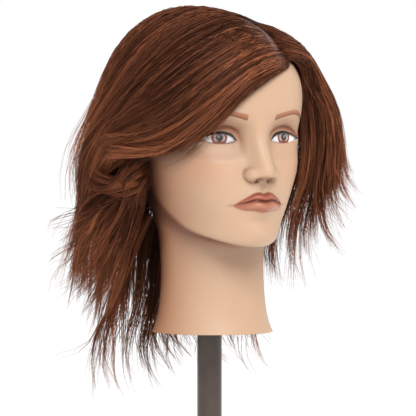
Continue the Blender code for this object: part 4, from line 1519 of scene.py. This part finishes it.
# Every piece of hair, in the order that it is built: its name, section and sheets.
PIECES: tuple[Piece, ...] = (
    (
        "hair_sweep_front",
        Section.FRINGE,
        (
            Sheet(
                SWEEP[:3], 2000, depth=(0.25, 1.0), free=(0.75, 1.0), clumps=70, clumping=0.8,
                trim=0.25, wave=3.4, spread=4.5, light=1.5, root=0.1,
            ),
            Sheet(
                SWEEP[:2], 480, depth=(0.15, 0.8), free=(0.6, 0.9), clumps=26, clumping=0.8,
                trim=0.4, wave=4.0, spread=6.0, light=0.8, root=0.1,
            ),
            Sheet(
                WISPS, 120, depth=(0.1, 0.5), free=(0.1, 0.4), clumps=30, clumping=0.5, trim=0.5,
                wave=3.0, spread=4.0, light=0.9, root=0.3,
            ),
        ),
    ),
    (
        "hair_sweep_top",
        Section.CROWN,
        (
            Sheet(
                SWEEP[1:5], 2600, depth=(0.3, 1.0), free=(0.7, 0.95), clumps=100, clumping=0.8,
                trim=0.3, wave=4.4, spread=5.5, light=0.9, root=0.1, fade=0.5,
            ),
        ),
    ),
    (
        "hair_sweep_crown",
        Section.CROWN,
        (
            Sheet(
                SWEEP[3:], 2350, depth=(0.2, 1.0), free=(0.65, 0.95), clumps=100, clumping=0.8,
                trim=0.3, wave=5.4, spread=6.5, light=0.8, root=0.4, fade=0.6,
            ),
            Sheet(
                SWEEP[2:6], 220, depth=(0.9, 1.06), free=(0.5, 0.9), clumps=70, clumping=0.4,
                trim=0.4, wave=7.0, spread=10.0, light=0.9, root=0.1,
            ),
        ),
    ),
    (
        "hair_left_top_lay",
        Section.LEFT_TOP,
        (
            Sheet(
                LEFT[1:], 2300, depth=(0.35, 1.0), free=(0.15, 0.35), clumps=110, clumping=0.9,
                trim=0.62, wave=6.0, spread=9.0, light=1.5, root=0.3,
            ),
            Sheet(
                LEFT[1:4], 200, depth=(0.5, 1.0), free=(0.1, 0.3), clumps=60, clumping=0.3,
                trim=0.4, wave=8.0, spread=14.0, light=0.9, root=0.4,
            ),
        ),
    ),
    (
        "hair_left_front",
        Section.LEFT_SIDE,
        (
            Sheet(
                LEFT[:3], 1100, depth=(0.1, 0.9), free=(0.15, 0.35), clumps=80, clumping=0.9,
                trim=0.62, wave=6.0, spread=9.0, light=1.3, root=0.2,
            ),
            Sheet(
                LEFT_FLICK, 600, depth=(0.3, 1.0), free=(0.0, 0.1), clumps=40, clumping=0.92,
                trim=0.45, wave=5.0, spread=8.0, light=0.7, root=0.5,
            ),
            Sheet(
                LEFT_BACK, 800, depth=(0.2, 0.9), free=(0.5, 0.8), clumps=40, clumping=0.85,
                trim=0.4, wave=4.0, spread=7.0, light=0.4,
            ),
        ),
    ),
    (
        "hair_right_band",
        Section.RIGHT_SIDE,
        (
            Sheet(
                RIGHT_BAND, 1500, depth=(0.3, 0.9), free=(0.0, 0.2), clumps=80, clumping=0.85,
                trim=0.55, wave=5.5, spread=9.0, light=0.8,
            ),
            Sheet(
                RIGHT_BAND, 200, depth=(0.6, 1.3), free=(0.0, 0.2), clumps=60, clumping=0.3,
                trim=0.5, wave=8.0, spread=16.0, light=1.0,
            ),
            Sheet(
                RIGHT_CURL, 700, depth=(0.3, 1.0), free=(0.0, 0.2), clumps=16, clumping=0.85,
                trim=0.3, wave=2.0, spread=5.0, light=0.8,
            ),
        ),
    ),
    (
        "hair_right_fall",
        Section.RIGHT_SIDE,
        (
            Sheet(
                RIGHT_FALL, 2300, depth=(0.1, 0.85), free=(0.45, 0.75), clumps=100, clumping=0.9,
                trim=0.62, wave=6.0, spread=9.0, light=0.8,
            ),
            Sheet(
                RIGHT_FALL[:3], 200, depth=(0.5, 1.05), free=(0.3, 0.7), clumps=70, clumping=0.4,
                trim=0.5, wave=9.0, spread=13.0, light=0.9,
            ),
        ),
    ),
    (
        "hair_back_fall",
        Section.BACK,
        (
            Sheet(
                BACK, 2600, depth=(0.2, 1.0), free=(0.5, 0.85), clumps=100, clumping=0.8,
                trim=0.45, wave=4.0, spread=6.0, light=0.5,
            ),
        ),
    ),
    (
        "hair_nape_fall",
        Section.NAPE,
        (
            Sheet(
                NAPE, 1300, depth=(0.1, 0.8), free=(0.0, 0.2), clumps=80, clumping=0.92, trim=0.75,
                wave=7.0, spread=12.0, light=0.6,
            ),
            Sheet(
                NAPE, 160, depth=(0.3, 1.2), free=(0.0, 0.2), clumps=60, clumping=0.4, trim=0.5,
                wave=10.0, spread=18.0, light=1.0,
            ),
        ),
    ),
)


@dataclass
class Hairdo:
    """The whole dressed head of hair, over a dark cap of cropped roots."""

    scalp: HeadForm
    pieces: tuple[Piece, ...] = PIECES
    outline: HeadForm = field(
        default_factory=lambda: HeadForm(
            sections=(
                (-62, -52, -62, 60, 64, 66, 2.0),
                (-30, -30, -30, 66, 74, 76, 2.0),
                (20, 20, 20, 74, 86, 92, 2.0),
                (70, 70, 70, 80, 96, 106, 2.0),
                (120, 120, 120, 84, 107, 110, 2.0),
                (170, 170, 170, 90, 113, 106, 2.1),
                (205, 205, 205, 98, 112, 99, 2.2),
                (235, 235, 235, 92, 103, 88, 2.1),
                (260, 260, 260, 76, 87, 71, 2.1),
                (277, 277, 277, 50, 60, 48, 2.0),
                (284, 284, 284, 24, 30, 24, 2.0),
                (286, 286, 286, 0.5, 0.5, 0.5, 2.0),
            )
        )
    )
    hairline: Graph = (
        (0, 13.9), (40, 13.8), (62, 12.9), (78, 11.4), (92, 11.0), (108, 10.4), (125, 8.6),
        (150, 6.0), (180, 5.2),
    )

    def build(self) -> None:
        """Builds the cap and every tress."""
        finish = HumanHair().build()
        self.build_cap(HumanHair("root_cap", mid=linear(40, 20, 12), gloss=0.0).build())
        for k, (name, section, sheets) in enumerate(self.pieces):
            Tress(self.scalp, self.outline, SEED + k).build(name, sheets, section, finish)

    def build_cap(self, finish: bpy.types.Material, rows: int = 30, columns: int = 120) -> None:
        """The dark cap of roots: two offsets of the scalp joined along the hairline.

        Args:
            finish: The cap's material.
            rows: Rows of points from the hairline up.
            columns: Points in a row.
        """
        angles = np.linspace(-math.pi, math.pi, columns + 1)[:-1]
        low = curve(self.hairline, np.degrees(np.abs(angles)))
        share = np.linspace(0, 1, rows)[:, None]
        levels = low + (self.scalp.top_level - CROWN_GAP - low) * share
        plain = self.scalp.points(np.tile(angles, rows), levels.ravel())
        _, ray = self.scalp.clearance(plain)
        edge = ramp(0, 0.12, np.repeat(share.ravel(), columns))[:, None]
        outer = plain + ray * (0.5 + 0.9 * edge)
        inner = plain - ray * 0.6
        points = np.concatenate([outer, inner]) * MM + HEAD_ORIGIN
        last = rows * columns
        around = np.arange(columns)
        after = (around + 1) % columns
        faces = grid_quads(rows, columns, True).tolist()
        faces += grid_quads(rows, columns, True, last)[:, ::-1].tolist()
        faces += np.stack([last + around, last + after, after, around], 1).tolist()
        faces.append((around + last - columns).tolist())
        faces.append((around[::-1] + 2 * last - columns).tolist())
        cap = add_mesh("hair_root_cap", points, faces, finish)
        add_color(cap, "tone", np.tile([0.12, 0.0, 0.0, 1.0], (len(points), 1)))
        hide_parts(Section.CROWN.value)
        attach(cap, "head")
        LOG.info("root cap: %d faces", len(faces))


# Holder and studio ------------------------------------------------------------------------
@dataclass
class Holder:
    """The socket, post, clamp and screw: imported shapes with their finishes."""

    def finishes(self) -> dict[bpy.types.Material, tuple[str, ...]]:
        """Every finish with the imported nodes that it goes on.

        Returns:
            The nodes' names for each material.
        """
        bronze = PaintedMetal(
            "bronze_paint", linear(48, 34, 27), linear(68, 52, 42),
            roughness=0.34, metallic=0.0, grain=700, depth=0.00003,
        )
        cast = PaintedMetal(
            "cast_paint", linear(42, 42, 44), linear(70, 70, 73),
            roughness=0.5, metallic=0.2, grain=420, depth=0.00025,
        )
        steel = TurnedMetal(
            "zinc_steel", (0.62, 0.62, 0.63), roughness=0.3, stretch=(0.4, 0.4, 1.0),
        )
        brass = TurnedMetal(
            "turned_brass", linear(205, 160, 90), roughness=0.3, stretch=(0.1, 0.1, 1.5),
        )
        rubber = MouldedPolymer(
            "black_rubber", linear(40, 40, 41), linear(56, 55, 54),
            roughness=0.75, grain=900, depth=0.0002,
        )
        dark = MouldedPolymer(
            "dark_plastic", linear(40, 40, 42), linear(52, 52, 54),
            roughness=0.42, grain=1100, depth=0.00008,
        )
        pale = MouldedPolymer(
            "pale_plastic", linear(222, 216, 204), linear(205, 198, 184),
            roughness=0.5, grain=1100, depth=0.00008,
        )
        foam = MouldedPolymer(
            "rigid_foam", linear(236, 222, 178), linear(214, 196, 150),
            roughness=0.9, grain=500, depth=0.0008,
        )
        return {
            bronze.build(): ("post_tube",),
            cast.build(): ("clamp_frame", "tilt_fork", "post_tongue", "pressure_foot"),
            steel.build(): (
                "fork_screw_1", "fork_screw_2", "tilt_bolt", "lever_washer", "swivel_bolt",
                "clamp_screw", "tommy_bar", "flange_screw_1", "flange_screw_2", "flange_screw_3",
            ),
            brass.build(): ("screw_bush",),
            rubber.build(): ("jaw_pad", "pressure_pad", "bar_cap_left", "bar_cap_right"),
            dark.build(): ("lock_lever", "swivel_plug", "socket_sleeve"),
            pale.build(): ("post_bush", "neck_base_plate"),
            foam.build(): ("foam_core",),
        }

    def build(self) -> None:
        """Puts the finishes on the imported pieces."""
        for finish, nodes in self.finishes().items():
            for node in nodes:
                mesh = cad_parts[node].data
                mesh.materials.clear()
                mesh.materials.append(finish)
            LOG.info("%s on %s", finish.name, ", ".join(nodes))


@dataclass
class Studio:
    """A white room: floor, even light, a soft key light with a rim light, and the camera.

    azimuth and elevation are the camera's, in degrees, from straight ahead of the head.
    width is what it sees across at the target, in metres.
    """

    floor_z: float = -0.155
    floor_radius: float = 6
    floor_sides: int = 64
    aim_z: float = 0.3
    azimuth: float = -30.0
    elevation: float = 2.0
    distance: float = 3.2
    width: float = 0.364
    centre_z: float = 0.2576
    centre_shift: float = -0.0013

    def build(self) -> None:
        """Builds the floor, the lights and the camera."""
        self.build_floor()
        world = bpy.data.worlds.new("white_room")
        world.use_nodes = True
        world.node_tree.nodes["Background"].inputs["Color"].default_value = (1, 1, 1, 1)
        world.node_tree.nodes["Background"].inputs["Strength"].default_value = 1.0
        bpy.context.scene.world = world
        bpy.context.scene.view_settings.view_transform = "Standard"
        self.area("key", (-0.35, -1.55, 1.6), size=0.9, power=38.0)
        self.area("rim", (1.4, 0.9, 1.0), size=0.8, power=8.0)
        self.build_camera()

    def build_floor(self) -> None:
        """A pale, faintly glowing disc, close to the white of the room."""
        shader = Shader("pale_floor")
        speckle = shader.mixed(shader.noise(6, 3), linear(254, 254, 254), linear(252, 252, 252))
        shader.link(speckle, shader.principled.inputs["Base Color"])
        shader.set(Roughness=0.8, Specular_IOR_Level=0.1)
        shader.set(Emission_Color=(1, 1, 1, 1), Emission_Strength=0.06)
        angle = np.linspace(0, 2 * math.pi, self.floor_sides + 1)[:-1]
        across, ahead = self.floor_radius * np.sin(angle), -self.floor_radius * np.cos(angle)
        rim = np.stack([across, ahead, np.full(self.floor_sides, self.floor_z)], 1)
        floor = add_mesh("floor", rim, [list(range(self.floor_sides))], shader.material)

    def area(self, name: str, place: Point, size: float, power: float) -> None:
        """A soft square light aimed at the head.

        Args:
            name: The light's name.
            place: Where it stands, in metres.
            size: Its side in metres.
            power: Its power in watts.
        """
        light = bpy.data.lights.new(name, "AREA")
        light.size = size
        light.energy = power
        light.color = (0.96, 1.0, 1.06)
        lamp = bpy.data.objects.new(name, light)
        lamp.location = place
        ray = Vector((0, 0, self.aim_z)) - Vector(place)
        lamp.rotation_euler = ray.to_track_quat("-Z", "Y").to_euler()
        bpy.context.scene.collection.objects.link(lamp)

    def build_camera(self) -> None:
        """The long lens that looks at the head from its right, a little from above."""
        azimuth, elevation = math.radians(self.azimuth), math.radians(self.elevation)
        across = Vector((math.cos(azimuth), math.sin(azimuth), 0))
        target = across * self.centre_shift + Vector((0, 0, self.centre_z))
        level = math.cos(elevation)
        back = Vector((math.sin(azimuth) * level, -math.cos(azimuth) * level, math.sin(elevation)))
        lens = bpy.data.cameras.new("camera")
        lens.lens = lens.sensor_width * self.distance / self.width
        lens.clip_end = 50
        camera = bpy.data.objects.new("camera", lens)
        camera.location = target + back * self.distance
        camera.rotation_euler = (-back).to_track_quat("-Z", "Y").to_euler()
        bpy.context.scene.collection.objects.link(camera)
        bpy.context.scene.camera = camera


def main() -> None:
    """Builds the head, its hair, the holder's finishes and the studio."""
    logging.basicConfig(level=logging.INFO, format="%(message)s")
    form = HeadForm()
    HeadSkin(form, Face()).build()
    Hairdo(form).build()
    Holder().build()
    Studio().build()


if __name__ == "__main__":
    main()
